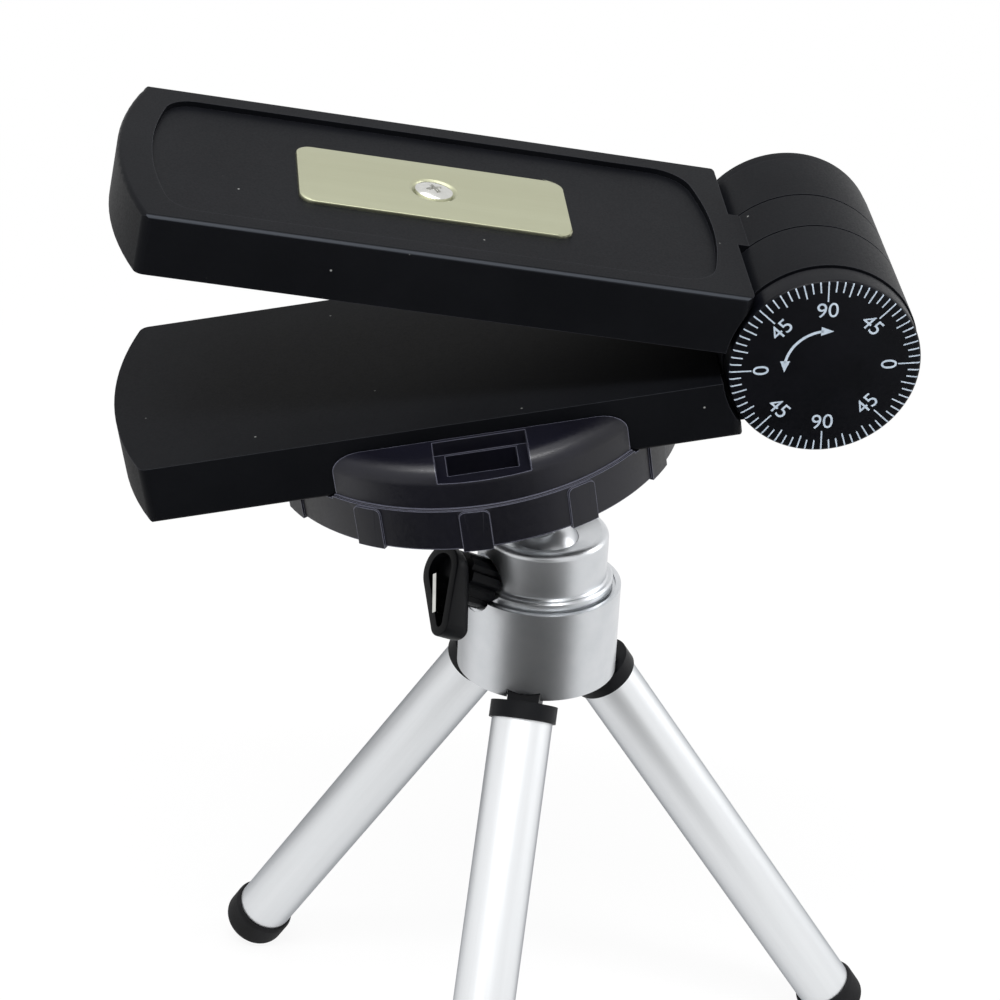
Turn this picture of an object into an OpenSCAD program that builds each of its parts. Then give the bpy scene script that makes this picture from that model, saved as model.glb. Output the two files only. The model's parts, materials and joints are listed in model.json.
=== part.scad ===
// Folding cross line laser level with a protractor dial, on a docking base and a mini tripod.
// Millimetres. The origin is on the floor under the tripod's axis, X runs along the level,
// Y along its hinge away from the dial, and Z up.

/* [Leaves] */
// Width of each leaf, along the hinge
leaf_w = 44.6; // [40:0.2:52]
// Thickness of each leaf
leaf_t = 9.6; // [9.4:0.2:13]
// Length of each leaf from its hinge end to the tip of its round end
leaf_len = 95.1; // [88:0.5:115]
// Radius of the round end in plan
end_radius = 61; // [45:1:80]
// Radius of a leaf's corners in plan
corner_r = 1.6; // [1:0.1:3]
// Rounding of the outer face's edge
edge_r = 0.8; // [0.4:0.1:0.9]
// Gap between the two leaves when they are folded
parting_gap = 0.3; // [0.2:0.1:1]
// How far the hinge end of a leaf reaches inside the barrel's radius
end_overlap = 1.8; // [1:0.1:2.4]
// Wall of a leaf's shell
leaf_wall = 1.8; // [1.4:0.1:2.4]
// Angle between the leaves as shown
leaf_open = 18.3; // [0:0.1:170]

/* [Recessed covers] */
// Rim left beside the recessed cover of a leaf
panel_margin = 3.7; // [3.2:0.1:7]
// Rim left at the round end
panel_end_margin = 5.2; // [4:0.1:7]
// Rim left at the hinge end
panel_hinge_margin = 3.3; // [2.5:0.1:6]
// Depth of the cover below the rim
panel_depth = 0.9; // [0.6:0.1:1.2]
// Thickness of a cover
cover_t = 1.6; // [1.2:0.1:2]
// Radius of the arc at a cover's hinge end
cover_arc_r = 61; // [45:1:80]
// Corner radius of a cover at the hinge end
cover_hinge_r = 6; // [3:0.5:9]
// Corner radius of a cover at the round end
cover_far_r = 5; // [2:0.5:7]
// Width of the ledge under a cover
ledge_w = 1; // [0.6:0.1:1.6]
// Thickness of the ledge under a cover
ledge_t = 0.5; // [0.4:0.1:0.9]

/* [Magnet plates] */
// Length of a magnet plate
plate_l = 41.8; // [34:0.2:48]
// Width of a magnet plate
plate_w = 18.6; // [15:0.2:26]
// Thickness of a magnet plate
plate_t = 1.2; // [1:0.1:1.6]
// Height of a magnet plate above its cover
plate_proud = 0.55; // [0.3:0.05:0.8]
// Corner radius of a magnet plate
plate_r = 2.5; // [1:0.1:4]
// Distance from a leaf's hinge end to the middle of its plate
plate_from_end = 47; // [42:0.5:54]
// Diameter of the plate screw's head
plate_screw_head_d = 5.8; // [5:0.1:7]
// Width of the bevel around the plate screw's head
screw_bevel_w = 0.75; // [0.4:0.05:1.2]
// Diameter of the plate screw's shank
plate_screw_d = 2.9; // [2.5:0.1:3.5]
// Length of a bar magnet
magnet_l = 34; // [28:0.5:38]
// Width of a bar magnet
magnet_w = 13; // [10:0.5:18]
// Thickness of a bar magnet
magnet_t = 2.6; // [2:0.1:2.8]

/* [Barrel and dial] */
// Radius of the hinge barrel
barrel_r = 15; // [13.5:0.1:17]
// Radius of the dial
dial_r = 14.7; // [12.5:0.1:16]
// Thickness of the dial
dial_len = 4.1; // [3:0.1:5]
// Rounding of the dial's front edge
dial_edge_r = 1.5; // [0.5:0.1:2]
// How far the dial's face lies inside the leaves' side
dial_inset = 0.2; // [0:0.1:1]
// How far the barrel's other end lies inside the leaves' side
cap_inset = 1.2; // [0.5:0.1:2]
// Length of the middle knuckle
mid_len = 10.2; // [8:0.1:14]
// Gap between knuckles
knuckle_gap = 0.4; // [0.35:0.05:0.6]
// Thickness of the friction washers between the knuckles
washer_t = 0.3; // [0.2:0.05:0.3]
// Outer radius of the hinge sleeve
sleeve_r = 9; // [8.6:0.1:10.5]
// Wall of the hinge sleeve
sleeve_wall = 1.2; // [0.8:0.1:1.4]
// Thickness of the barrel's end cap
cap_len = 2.3; // [2:0.1:3.5]
// Radius of the laser module
laser_r = 4.5; // [3.5:0.1:5]
// Length of the laser module
laser_len = 11; // [8:0.5:13]
// Length of the line lens
lens_len = 2.4; // [1.5:0.1:3.5]
// Radius of the laser window
window_r = 5.5; // [5:0.1:6.5]
// Thickness of the laser window
window_t = 1.2; // [0.8:0.1:1.4]

/* [Power] */
// Diameter of a button cell
cell_d = 11.6; // [9.5:0.1:12]
// Height of a button cell
cell_h = 5.2; // [4:0.1:5.2]
// Distance from the leaf's hinge end to the row of cells
cells_from_end = 17.2; // [15:0.1:18.5]
// Thickness of the battery door
door_t = 1.2; // [0.9:0.1:1.3]
// Length of the circuit board
board_l = 15; // [12:0.5:17]
// Width of the circuit board
board_w = 20; // [16:0.5:22]
// Thickness of the circuit board
board_t = 1.2; // [0.8:0.1:1.6]
// Distance from the tip of the leaf to the circuit board
board_from_tip = 8.5; // [8:0.5:12]
// Travel of the slide switch
switch_travel = 3; // [2:0.5:4]

/* [Docking base] */
// Radius of the docking base's grip ring
dock_r = 32.4; // [31:0.2:36]
// Height of the grip ring
dock_ring_h = 7.3; // [7:0.1:9]
// Height of the channel's floor above the underside
dock_floor_h = 6.6; // [6.2:0.1:6.9]
// Height of the two cheeks above the underside
cheek_h = 14; // [11:0.1:15.5]
// Rounding of the cheeks' top edge
cheek_edge_r = 3; // [1:0.1:4]
// How far the cheeks' wall lies inside the grip ring
cheek_step = 0.5; // [0.3:0.1:1]
// Clearance at each side of the leaf in its channel
channel_clear = 0.25; // [0.15:0.05:0.6]
// Number of pads around the grip ring
pad_count = 12; // [8:1:14]
// Width of a pad
pad_w = 4.6; // [3:0.1:6]
// Height of a pad above the ring's wall
pad_proud = 0.35; // [0.3:0.05:1]
// How far the pads reach below the underside
pad_foot = 0.15; // [0:0.05:1]
// Turn of the row of pads from the level's cross axis
pad_phase = -4.2; // [-15:0.1:15]
// Length of a strap slot
slot_l = 10.8; // [9:0.1:13]
// Width of a strap slot
slot_w = 5.8; // [5:0.1:6.2]
// Wall between a strap slot and the channel
slot_inset = 1; // [0.8:0.1:1.4]
// Wall left outside a strap slot
slot_wall = 1.6; // [1.2:0.1:2]
// Depth of the notch above a strap slot
notch_d = 2.4; // [1.5:0.1:4]
// Length of the notch beside a strap slot, at each end
notch_side = 1.7; // [0.8:0.1:2.5]
// Distance from the middle of the docking base to the hinge
dock_to_hinge = 53.1; // [50:0.1:58]
// Distance from the middle of the docking base to its tripod socket
socket_offset = 7.7; // [0:0.1:9]

/* [Ball head] */
// Radius of the ball
ball_r = 7; // [6:0.1:7.4]
// Height of the ball's centre above the hub's rim
ball_above_rim = 3.9; // [3:0.1:4.5]
// Distance from the ball's centre to the docking base
stem_h = 24.6; // [23:0.1:32]
// Radius of the neck
neck_r = 3.5; // [2.8:0.1:3.8]
// Radius of the neck's collar
collar_r = 6; // [5.2:0.1:7]
// Radius of the top plate
top_plate_r = 9.5; // [8.5:0.1:12]
// Thickness of the top plate
top_plate_t = 3.6; // [2.5:0.1:4.5]
// Thickness of the rubber pad on the top plate
pad_t = 0.6; // [0.4:0.1:1]
// Radius of the tripod screw
tripod_screw_r = 3.1; // [2.9:0.05:3.2]
// Tilt of the level to the side as shown, hinge end up
head_roll = 10.1; // [0:0.1:20]
// Tilt of the level towards the dial as shown
head_pitch = 5.5; // [0:0.1:20]

/* [Hub] */
// Radius of the hub
hub_r = 13.1; // [12.8:0.1:15]
// Height of the hub
hub_h = 15.5; // [15:0.1:18]
// Radius of the ball housing
housing_r = 10.6; // [10:0.1:11.2]
// Height of the ball housing above the hub's rim
housing_h = 8.1; // [7.4:0.1:8.6]
// Rounding of the ball housing's top edge
housing_edge_r = 2; // [0.5:0.1:2.2]
// Width of the flange at the ball housing's foot
flange_w = 0.6; // [0.3:0.1:0.8]
// Height of the flange at the ball housing's foot
flange_h = 0.7; // [0.4:0.1:1]
// Depth of the ledge inside the hub's rim
ledge_depth = 0.4; // [0.2:0.1:0.8]
// Width of the hub's raised rim
rim_w = 0.9; // [0.5:0.1:1.2]

/* [Lever knob] */
// Direction of the knob around the hub, in degrees
knob_azimuth = 205; // [150:1:225]
// Rise of the knob's axis from the horizontal, in degrees
knob_rise = 28; // [24:1:32]
// Depth below the hub's rim at which the knob's axis meets the hub's axis
knob_drop = 4.4; // [3.8:0.1:5]
// Distance from there to the knob's outer face
knob_reach = 21.6; // [20.5:0.1:25]
// Turn of the lever about the knob's axis
lever_turn = 42; // [-180:1:180]
// Length of the lever from the knob's axis to its tip
lever_len = 11.2; // [8:0.1:12]
// Radius of the lever around the knob's axis
lever_head_r = 4.3; // [4:0.1:5]
// Radius of the lever's tip
lever_tail_r = 2.2; // [1.8:0.1:3]
// Thickness of the lever along the knob's axis
lever_t = 5.4; // [4.5:0.1:6.6]
// Radius of the knob's ribbed collar
knob_collar_r = 4.2; // [3.6:0.1:4.3]
// Radius of the clamp screw
clamp_screw_r = 2; // [1.6:0.1:2.2]

/* [Legs] */
// Angle of a leg from the vertical when it is spread
splay = 33.6; // [28:0.1:38]
// Direction of the first leg around the hub, in degrees
leg_azimuth = 15.7; // [0:0.1:30]
// Distance of a leg's pivot from the axis
pivot_r = 7.3; // [7:0.1:7.8]
// Distance of a leg's pivot below the hub's rim
pivot_drop = 11.8; // [11.2:0.1:12.2]
// Distance from a leg's pivot to the tip of its foot
leg_len = 101.6; // [80:0.2:160]
// Radius of a leg's tube
tube_r = 5; // [4:0.1:5.1]
// Wall of a leg's tube
tube_wall = 0.7; // [0.5:0.1:1.2]
// Radius of a leg's cap
leg_cap_r = 5.5; // [5.4:0.1:5.8]
// Length of a leg's cap
leg_cap_len = 2.8; // [2.4:0.1:8]
// Thickness of a leg's tongue
tongue_t = 5.2; // [4:0.1:5.6]
// Half width of a leg's tongue
tongue_half = 3; // [2.4:0.1:3.1]
// Radius of a leg's pivot pin
pin_r = 1.2; // [0.9:0.1:1.5]
// Radius of a rubber foot
foot_r = 5.6; // [5.5:0.1:5.9]
// Length of a rubber foot
foot_len = 6.2; // [5.5:0.1:14]
// Rounding of a rubber foot's tip
foot_edge_r = 1.8; // [1:0.1:2]

/* [Clearances] */
// Gap between parts that are pressed or glued together
seat = 0.03; // [0.02:0.01:0.05]
// Radial gap of a running fit
run = 0.06; // [0.04:0.01:0.1]
// Gap between parts that move past each other
free = 0.5; // [0.4:0.1:0.8]

/* [Hidden] */
$fn = 96;
eps = 0.01;
big = 400;

// Leaves: x is measured from the hinge axis towards the round end, which is negative
leaf_start = barrel_r - end_overlap;
leaf_tip = leaf_start + leaf_len;
end_cx = end_radius - leaf_tip;
inner_z = parting_gap / 2;
outer_z = inner_z + leaf_t;
floor_z = inner_z + leaf_wall;
cover_top_z = outer_z - panel_depth;
cover_z = cover_top_z - cover_t;
panel_start = leaf_start + panel_hinge_margin;
cavity_start = barrel_r + free + leaf_wall;
ledge_z = cover_z - ledge_t;
plate_x = -(leaf_start + plate_from_end);
plate_z = cover_top_z + plate_proud - plate_t;
magnet_z = cover_z - seat - magnet_t;
boss_r = 3;
boss_root = 0.5;
arm_rise = 1;
screw_head_r = plate_screw_head_d / 2;
screw_sink = plate_t / 2;
screw_tip_gap = 0.4;
screw_rise = (panel_depth - plate_proud) * 0.7;
screw_head_h = screw_sink + screw_rise - seat;
screw_dome_r = (screw_head_r * screw_head_r + screw_rise * screw_rise) / (2 * screw_rise);

// Barrel: stations along the hinge from the dial to the end cap
y_dial = dial_inset - leaf_w / 2;
knuckle_len = (leaf_w - dial_inset - cap_inset - dial_len - cap_len - 3 * knuckle_gap - mid_len) / 2;
y_near = y_dial + dial_len + knuckle_gap;
y_mid = y_near + knuckle_len + knuckle_gap;
y_far = y_mid + mid_len + knuckle_gap;
y_cap = y_far + knuckle_len;
near_range = [y_near, y_near + knuckle_len];
mid_range = [y_mid, y_mid + mid_len];
far_range = [y_far, y_cap];
sleeve_bore = sleeve_r - sleeve_wall;
carrier_r = sleeve_bore - run;
carrier_start = y_dial + dial_len + seat;
carrier_end = y_cap - 0.3;
spigot_r = 5;
spigot_len = 3;
lens_inset = 0.4;
lens_gap = 0.2;
lens_y = carrier_end - lens_inset - lens_len;
laser_y = lens_y - lens_gap - laser_len;
lens_groove_r = 2;
lens_groove_rise = 1.4;
aperture_wall = 2;
aperture_depth = 2;
wire_wall = 1.5;
washer_inset = 1.8;
window_lip = 1.2;
cap_step = 0.1;

// Power: a row of three cells across the leaf, and a board near its tip
cell_x = -(leaf_start + cells_from_end);
cell_gap = 0.5;
cell_pitch = cell_d + cell_gap;
cell_rim = 1.1;
cell_step = 0.6;
cell_row = 2 * cell_pitch + cell_d;
cell_z = inner_z + door_t + 0.15;
contact_t = cover_z - cell_z - cell_h - 2 * seat;
contact_w = 4;
contact_gap = 0.3;
contact_l = leaf_w - 2 * (panel_margin + ledge_w + contact_gap);
door_margin = 1.2;
door_l = cell_row + 2 * door_margin;
door_w = cell_d + 2 * door_margin;
door_ledge = 0.9;
door_gap = 0.1;
groove_l = 8;
groove_r = 0.5;
groove_pitch = 1.6;
groove_from_end = 6;
side_y = leaf_w / 2;
board_x = board_from_tip - leaf_tip;
board_y = side_y - leaf_wall - 0.2 - board_w;
switch_x = board_x + board_l / 2;
switch_l = switch_travel + 6;
switch_w = 4;
switch_h = 3.2;
switch_z = floor_z + board_t;
slider_l = 3.2;
slider_h = 1.8;
slider_z = switch_z + switch_h / 2;
slider_gap = 0.3;
slider_root = 1.6;
slider_proud = 1.1;

// Head frame: origin at the ball's centre, z up along the stem
dock_z = stem_h;
channel_half = leaf_w / 2 + channel_clear;
hinge_x = dock_to_hinge - socket_offset;
hinge_z = dock_z + dock_floor_h + seat + outer_z;
cheek_r = dock_r - cheek_step;
slot_start = channel_half + slot_inset;
notch_lip = 0.4;
ring_edge = 0.3;
keeper_t = 1;
relief_d = 3;
relief_wall = 2;
relief_land = 1.5;
insert_r = 4.6;
insert_roof = 0.3;
insert_len = dock_floor_h - keeper_t - insert_roof;
plate_bottom_z = stem_h - pad_t - top_plate_t;
plate_bevel = 1;
post_len = 3.6;
collar_t = 2;
collar_z = plate_bottom_z - post_len - collar_t;
collar_flare = 1.5;
post_z = collar_z + collar_t + seat;
post_inset = 1;
screw_roof = 0.6;
swivel_pin_r = 2;
swivel_pin_len = 5;
swivel_pin_gap = 0.3;

// Tripod: stations above the floor
foot_drop = (leg_len - foot_edge_r) * cos(splay) + (foot_r - foot_edge_r) * sin(splay) + foot_edge_r;
pivot_z = foot_drop;
rim_z = pivot_z + pivot_drop;
ball_z = rim_z + ball_above_rim;
spigot_depth = 4.5;
housing_spigot_r = 9.2;
socket_r = ball_r + run;
seat_h = 3.2;
flange_r = housing_r + flange_w;

// Legs: distances along a leg from its pivot
hub_below_pivot = hub_h - pivot_drop;
cap_start = (hub_r - pivot_r) * sin(splay) + hub_below_pivot * cos(splay) + 0.4;
tube_start = cap_start + 1.4;
foot_start = leg_len - foot_len;
tube_end = leg_len - 2.2;
foot_lip = 0.8;
slot_gap = 0.15;
pin_half = tongue_t / 2 + 2.2;

// Lever knob: distances along its axis from the hub's axis
recess_start = 12;
knob_start = recess_start + 0.3;
lever_start = knob_reach - lever_t;
hollow_depth = 3;
hollow_rim = 1.1;
hollow_z = knob_reach - hollow_depth;
ball_over_axis = (ball_above_rim + knob_drop) * cos(knob_rise) - clamp_screw_r;
screw_tip = (ball_above_rim + knob_drop) * sin(knob_rise)
    + sqrt(max(0, pow(ball_r + 0.15, 2) - pow(ball_over_axis, 2)));

// Frames that carry the pieces

module in_head() {
    translate([0, 0, ball_z]) rotate([head_pitch, -head_roll, 0]) children();
}

module in_dock() {
    in_head() translate([-socket_offset, 0, dock_z]) children();
}

module in_lower() {
    in_head() translate([hinge_x, 0, hinge_z]) mirror([0, 0, 1]) children();
}

module in_barrel() {
    in_head() translate([hinge_x, 0, hinge_z]) children();
}

module in_upper() {
    in_barrel() rotate([0, leaf_open, 0]) children();
}

module at_hub() {
    translate([0, 0, rim_z]) children();
}

module at_knob() {
    translate([0, 0, rim_z - knob_drop])
        rotate([0, 90 - knob_rise, knob_azimuth]) rotate([0, 0, lever_turn]) children();
}

module at_leg(i) {
    rotate(leg_azimuth + (i - 1) * 120) translate([pivot_r, 0, pivot_z]) children();
}

module along_leg(i) {
    at_leg(i) rotate([0, 180 - splay, 0]) children();
}

// Shapes that repeat

// Cylinder along the hinge from y0 to y1
module along_y(r, y0, y1) {
    translate([0, y0, 0]) rotate([-90, 0, 0]) cylinder(r = r, h = y1 - y0);
}

// Ring along the hinge from y0 to y1
module ring_y(r, bore, y0, y1) {
    difference() {
        along_y(r, y0, y1);
        along_y(bore, y0 - 1, y1 + 1);
    }
}

// Tube standing on z
module tube(r, bore, h) {
    difference() {
        cylinder(r = r, h = h);
        translate([0, 0, -1]) cylinder(r = bore, h = h + 2);
    }
}

module round_rect(l, w, r) {
    square([l - 2 * r, w], center = true);
    square([l, w - 2 * r], center = true);
    for (sx = [-1, 1], sy = [-1, 1])
        translate([sx * (l / 2 - r), sy * (w / 2 - r)]) circle(r);
}

// Distance from the centre of an end's arc to the centres of the corners that touch it
function corner_reach(rad, half, r) = sqrt(pow(rad - r, 2) - pow(half - r, 2));

// Round end of a plan: an arc about cx, and a corner of radius r at each side
module round_end(cx, rad, half, r, side) {
    corner_x = cx + side * corner_reach(rad, half, r);
    reach = 1.5;
    intersection() {
        translate([cx, 0]) circle(rad, $fn = 180);
        polygon([
            [cx, 0],
            [cx + reach * (corner_x - cx), reach * (half - r)],
            [cx + reach * (corner_x - cx), reach * (r - half)]
        ]);
    }
    for (s = [-1, 1])
        translate([corner_x, s * (half - r)]) circle(r, $fn = 24);
}

// Plan of a leaf, drawn in by inset: straight sides, a round far end and a straight hinge end
module leaf_plan(inset, start) {
    half = leaf_w / 2 - inset;
    rad = end_radius - inset;
    far_x = end_cx - corner_reach(rad, half, corner_r);
    hinge_end = -start - corner_r;
    round_end(end_cx, rad, half, corner_r, -1);
    translate([far_x, -half]) square([hinge_end - far_x, 2 * half]);
    translate([hinge_end - eps, corner_r - half]) square([corner_r + eps, 2 * (half - corner_r)]);
    for (s = [-1, 1])
        translate([hinge_end, s * (half - corner_r)]) circle(corner_r, $fn = 24);
}

// Plan of a cover, drawn in by inset: straight sides between two round ends
module cover_plan(inset) {
    half = leaf_w / 2 - panel_margin - inset;
    far_rad = end_radius - panel_end_margin - inset;
    far_r = cover_far_r - inset;
    far_x = end_cx - corner_reach(far_rad, half, far_r);
    hinge_cx = -panel_start - cover_arc_r;
    hinge_rad = cover_arc_r - inset;
    hinge_r = cover_hinge_r - inset;
    hinge_end = hinge_cx + corner_reach(hinge_rad, half, hinge_r);
    round_end(end_cx, far_rad, half, far_r, -1);
    round_end(hinge_cx, hinge_rad, half, hinge_r, 1);
    translate([far_x, -half]) square([hinge_end - far_x, 2 * half]);
}

// Section of a leaf's edge out to reach, with its outer corner rounded
module edge_section(reach) {
    translate([0, inner_z - 1]) square([reach, leaf_t - edge_r + 1]);
    translate([0, inner_z - 1]) square([reach - edge_r, leaf_t + 1]);
    translate([reach - edge_r, outer_z - edge_r]) circle(edge_r);
}

// Outer form of a leaf: a slab with its long edges and its round end's edge rounded
module leaf_body() {
    intersection() {
        translate([0, 0, inner_z]) linear_extrude(leaf_t + 1) leaf_plan(0, leaf_start);
        translate([-leaf_tip - 1, 0, 0]) rotate([90, 0, 90]) linear_extrude(leaf_tip) {
            edge_section(leaf_w / 2 + eps);
            mirror([1, 0]) edge_section(leaf_w / 2 + eps);
        }
        translate([end_cx, 0, 0]) rotate_extrude() edge_section(end_radius + eps);
    }
}

// Arm that joins a leaf to one of its knuckles, flush with the outer face
module knuckle_arm(range) {
    translate([-cavity_start, range[0], inner_z + arm_rise])
        cube([cavity_start - barrel_r / 2, range[1] - range[0], leaf_t - arm_rise]);
}

// Shell of a leaf with its knuckles, open at the outer face for its cover
module leaf_shell(ranges, bore) {
    difference() {
        union() {
            difference() {
                leaf_body();
                along_y(barrel_r + free, -leaf_w, leaf_w);
            }
            for (range = ranges) {
                along_y(barrel_r, range[0], range[1]);
                knuckle_arm(range);
            }
        }
        for (range = ranges)
            along_y(bore, range[0] - 1, range[1] + 1);
        translate([0, 0, floor_z]) linear_extrude(ledge_z - floor_z) leaf_plan(leaf_wall, cavity_start);
        translate([0, 0, ledge_z - eps]) linear_extrude(cover_z - ledge_z + 2 * eps) cover_plan(ledge_w);
        translate([0, 0, cover_z]) linear_extrude(leaf_t) cover_plan(0);
    }
    translate([plate_x, 0, floor_z - boss_root])
        tube(boss_r, plate_screw_d / 2 + seat, magnet_z - seat - floor_z + boss_root);
}

module leaf_cover() {
    difference() {
        translate([0, 0, cover_z]) linear_extrude(cover_t) cover_plan(seat);
        translate([plate_x, 0, plate_z - seat]) linear_extrude(cover_t)
            round_rect(plate_l + 2 * seat, plate_w + 2 * seat, plate_r + seat);
        translate([plate_x, 0, 0]) cylinder(d = plate_screw_d + 2 * seat, h = outer_z);
    }
}

module leaf_plate() {
    translate([plate_x, 0, plate_z]) difference() {
        linear_extrude(plate_t) round_rect(plate_l, plate_w, plate_r);
        translate([0, 0, -1]) cylinder(d = plate_screw_d + 2 * seat, h = plate_t + 2);
        translate([0, 0, plate_t - screw_sink])
            cylinder(r1 = screw_head_r + seat, r2 = screw_head_r + screw_bevel_w, h = screw_sink + eps);
    }
}

// Raised head screw, sunk in its plate: the top of its head is a cap of a sphere
module leaf_plate_screw() {
    shank_l = plate_z + plate_t - screw_sink - floor_z - screw_tip_gap;
    translate([plate_x, 0, plate_z + plate_t - screw_sink + seat]) {
        intersection() {
            translate([0, 0, screw_head_h - screw_dome_r]) sphere(screw_dome_r);
            cylinder(r = screw_head_r, h = screw_head_h);
        }
        translate([0, 0, -shank_l]) cylinder(d = plate_screw_d, h = shank_l + screw_head_h / 2);
    }
}

module leaf_magnet() {
    translate([plate_x, 0, magnet_z]) difference() {
        translate([-magnet_l / 2, -magnet_w / 2, 0]) cube([magnet_l, magnet_w, magnet_t]);
        translate([0, 0, -1]) cylinder(d = plate_screw_d + 0.6, h = magnet_t + 2);
    }
}

// Lower leaf

module lower_shell() {
    color("#26272a") in_lower() leaf_shell([near_range, far_range], sleeve_r + seat);
}

module lower_cover() {
    color("#26272a") in_lower() leaf_cover();
}

module lower_plate() {
    color("#c3bda2") in_lower() leaf_plate();
}

module lower_plate_screw() {
    color("#d9d9d4") in_lower() leaf_plate_screw();
}

module lower_magnet() {
    color("#3a3a3c") in_lower() leaf_magnet();
}

// Upper leaf with the cells, the board and the switch

// Way that the switch's slider moves in, from y outwards
module slider_way(y, depth) {
    way_l = slider_l + switch_travel + 2 * slider_gap;
    translate([switch_x - way_l / 2, y, slider_z - slider_h / 2 - slider_gap])
        cube([way_l, depth, slider_h + 2 * slider_gap]);
}

module upper_shell() {
    color("#26272a") in_upper() difference() {
        leaf_shell([mid_range], sleeve_r + run);
        translate([cell_x - door_w / 2, -door_l / 2, inner_z - 1])
            cube([door_w, door_l, door_t + seat + 1]);
        translate([cell_x - door_w / 2 + door_ledge, door_ledge - door_l / 2, inner_z])
            cube([door_w - 2 * door_ledge, door_l - 2 * door_ledge, leaf_wall + 1]);
        slider_way(side_y - leaf_wall - 1, leaf_wall + 2);
    }
}

module upper_cover() {
    color("#26272a") in_upper() leaf_cover();
}

module upper_plate() {
    color("#c3bda2") in_upper() leaf_plate();
}

module upper_plate_screw() {
    color("#d9d9d4") in_upper() leaf_plate_screw();
}

module upper_magnet() {
    color("#3a3a3c") in_upper() leaf_magnet();
}

// Door on the inner face, with finger grooves
module battery_door() {
    color("#222326") in_upper() difference() {
        translate([cell_x - door_w / 2 + door_gap, door_gap - door_l / 2, inner_z])
            cube([door_w - 2 * door_gap, door_l - 2 * door_gap, door_t]);
        for (k = [-1, 0, 1])
            translate([cell_x + k * groove_pitch, door_l / 2 - groove_from_end, inner_z]) rotate([90, 0, 0])
                cylinder(r = groove_r, h = groove_l, center = true);
    }
}

module button_cells() {
    color("#c9cbcd") in_upper() for (k = [-1, 0, 1])
        translate([cell_x, k * cell_pitch, cell_z]) {
            cylinder(d = cell_d, h = cell_h - cell_step);
            cylinder(d = cell_d - 2 * cell_rim, h = cell_h);
        }
}

module cell_contact() {
    color("#b9a46a") in_upper() translate([cell_x - contact_w / 2, -contact_l / 2, cell_z + cell_h + seat])
        cube([contact_w, contact_l, contact_t]);
}

module circuit_board() {
    color("#2f6b45") in_upper() translate([board_x, board_y, floor_z]) cube([board_l, board_w, board_t]);
}

module switch_body() {
    color("#9a9da0") in_upper() difference() {
        translate([switch_x - switch_l / 2, side_y - leaf_wall - 0.2 - switch_w, switch_z])
            cube([switch_l, switch_w, switch_h]);
        slider_way(side_y - leaf_wall - slider_root - 0.1, 2);
    }
}

module switch_slider() {
    slider_x = switch_x - switch_travel / 2 - slider_l / 2;
    slider_d = slider_root + leaf_wall + slider_proud;
    color("#1b1c1e") in_upper()
        translate([slider_x, side_y - leaf_wall - slider_root, slider_z - slider_h / 2]) difference() {
            cube([slider_l, slider_d, slider_h]);
            for (k = [1, 2, 3])
                translate([k * slider_l / 4, slider_d, -1]) cylinder(r = 0.25, h = slider_h + 2);
        }
}

// Barrel

module hinge_sleeve() {
    color("#8f9296") in_barrel() ring_y(sleeve_r, sleeve_bore, y_near, y_cap);
}

module friction_washers() {
    color("#d8d8d2") in_barrel() for (y = [y_mid, y_far])
        translate([0, y - knuckle_gap / 2, 0])
            ring_y(barrel_r - washer_inset, sleeve_r + run, -washer_t / 2, washer_t / 2);
}

module end_cap() {
    color("#26272a") in_barrel() difference() {
        along_y(barrel_r - cap_step, y_cap, y_cap + cap_len);
        along_y(window_r - window_lip, y_cap - 1, y_cap + cap_len + 1);
        along_y(window_r + seat, y_cap - 1, y_cap + window_t + seat);
    }
}

module laser_window() {
    color("#a9c4c9") in_barrel() along_y(window_r, y_cap + seat, y_cap + window_t);
}

// Dial with its rounded front edge, and a spigot that turns the laser carrier
module dial() {
    color("#15171c") in_barrel() {
        translate([0, y_dial, 0]) rotate([-90, 0, 0]) rotate_extrude() {
            square([dial_r - dial_edge_r, dial_len]);
            translate([0, dial_edge_r]) square([dial_r, dial_len - dial_edge_r]);
            translate([dial_r - dial_edge_r, dial_edge_r]) intersection() {
                circle(dial_edge_r);
                translate([0, -dial_edge_r]) square(dial_edge_r);
            }
        }
        along_y(spigot_r, y_dial + dial_len - eps, carrier_start + spigot_len);
    }
}

module laser_carrier() {
    color("#303236") in_barrel() difference() {
        along_y(carrier_r, carrier_start, carrier_end);
        along_y(spigot_r + seat, carrier_start - 1, carrier_start + spigot_len + seat);
        along_y(laser_r + seat, laser_y - seat, carrier_end + 1);
        along_y(laser_r - wire_wall, carrier_start + 2 * spigot_len, laser_y + 1);
    }
}

module laser_module() {
    color("#b08d4f") in_barrel() difference() {
        along_y(laser_r, laser_y, laser_y + laser_len);
        along_y(laser_r - aperture_wall, laser_y + laser_len - aperture_depth, laser_y + laser_len + 1);
    }
}

module line_lens() {
    color("#cfe0e4") in_barrel() difference() {
        along_y(laser_r, lens_y, lens_y + lens_len);
        translate([0, lens_y + lens_len + lens_groove_rise, 0]) rotate([0, 45, 0])
            cylinder(r = lens_groove_r, h = big, center = true);
    }
}

// Docking base

// Outline of a grip pad seen from outside, with round top corners
module pad_outline() {
    top_r = 1;
    below_rim = 0.5;
    pad_h = dock_ring_h - below_rim + pad_foot;
    translate([-pad_w / 2, 0]) square([pad_w, pad_h - top_r]);
    translate([top_r - pad_w / 2, 0]) square([pad_w - 2 * top_r, pad_h]);
    for (s = [-1, 1])
        translate([s * (pad_w / 2 - top_r), pad_h - top_r]) circle(top_r);
}

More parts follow.
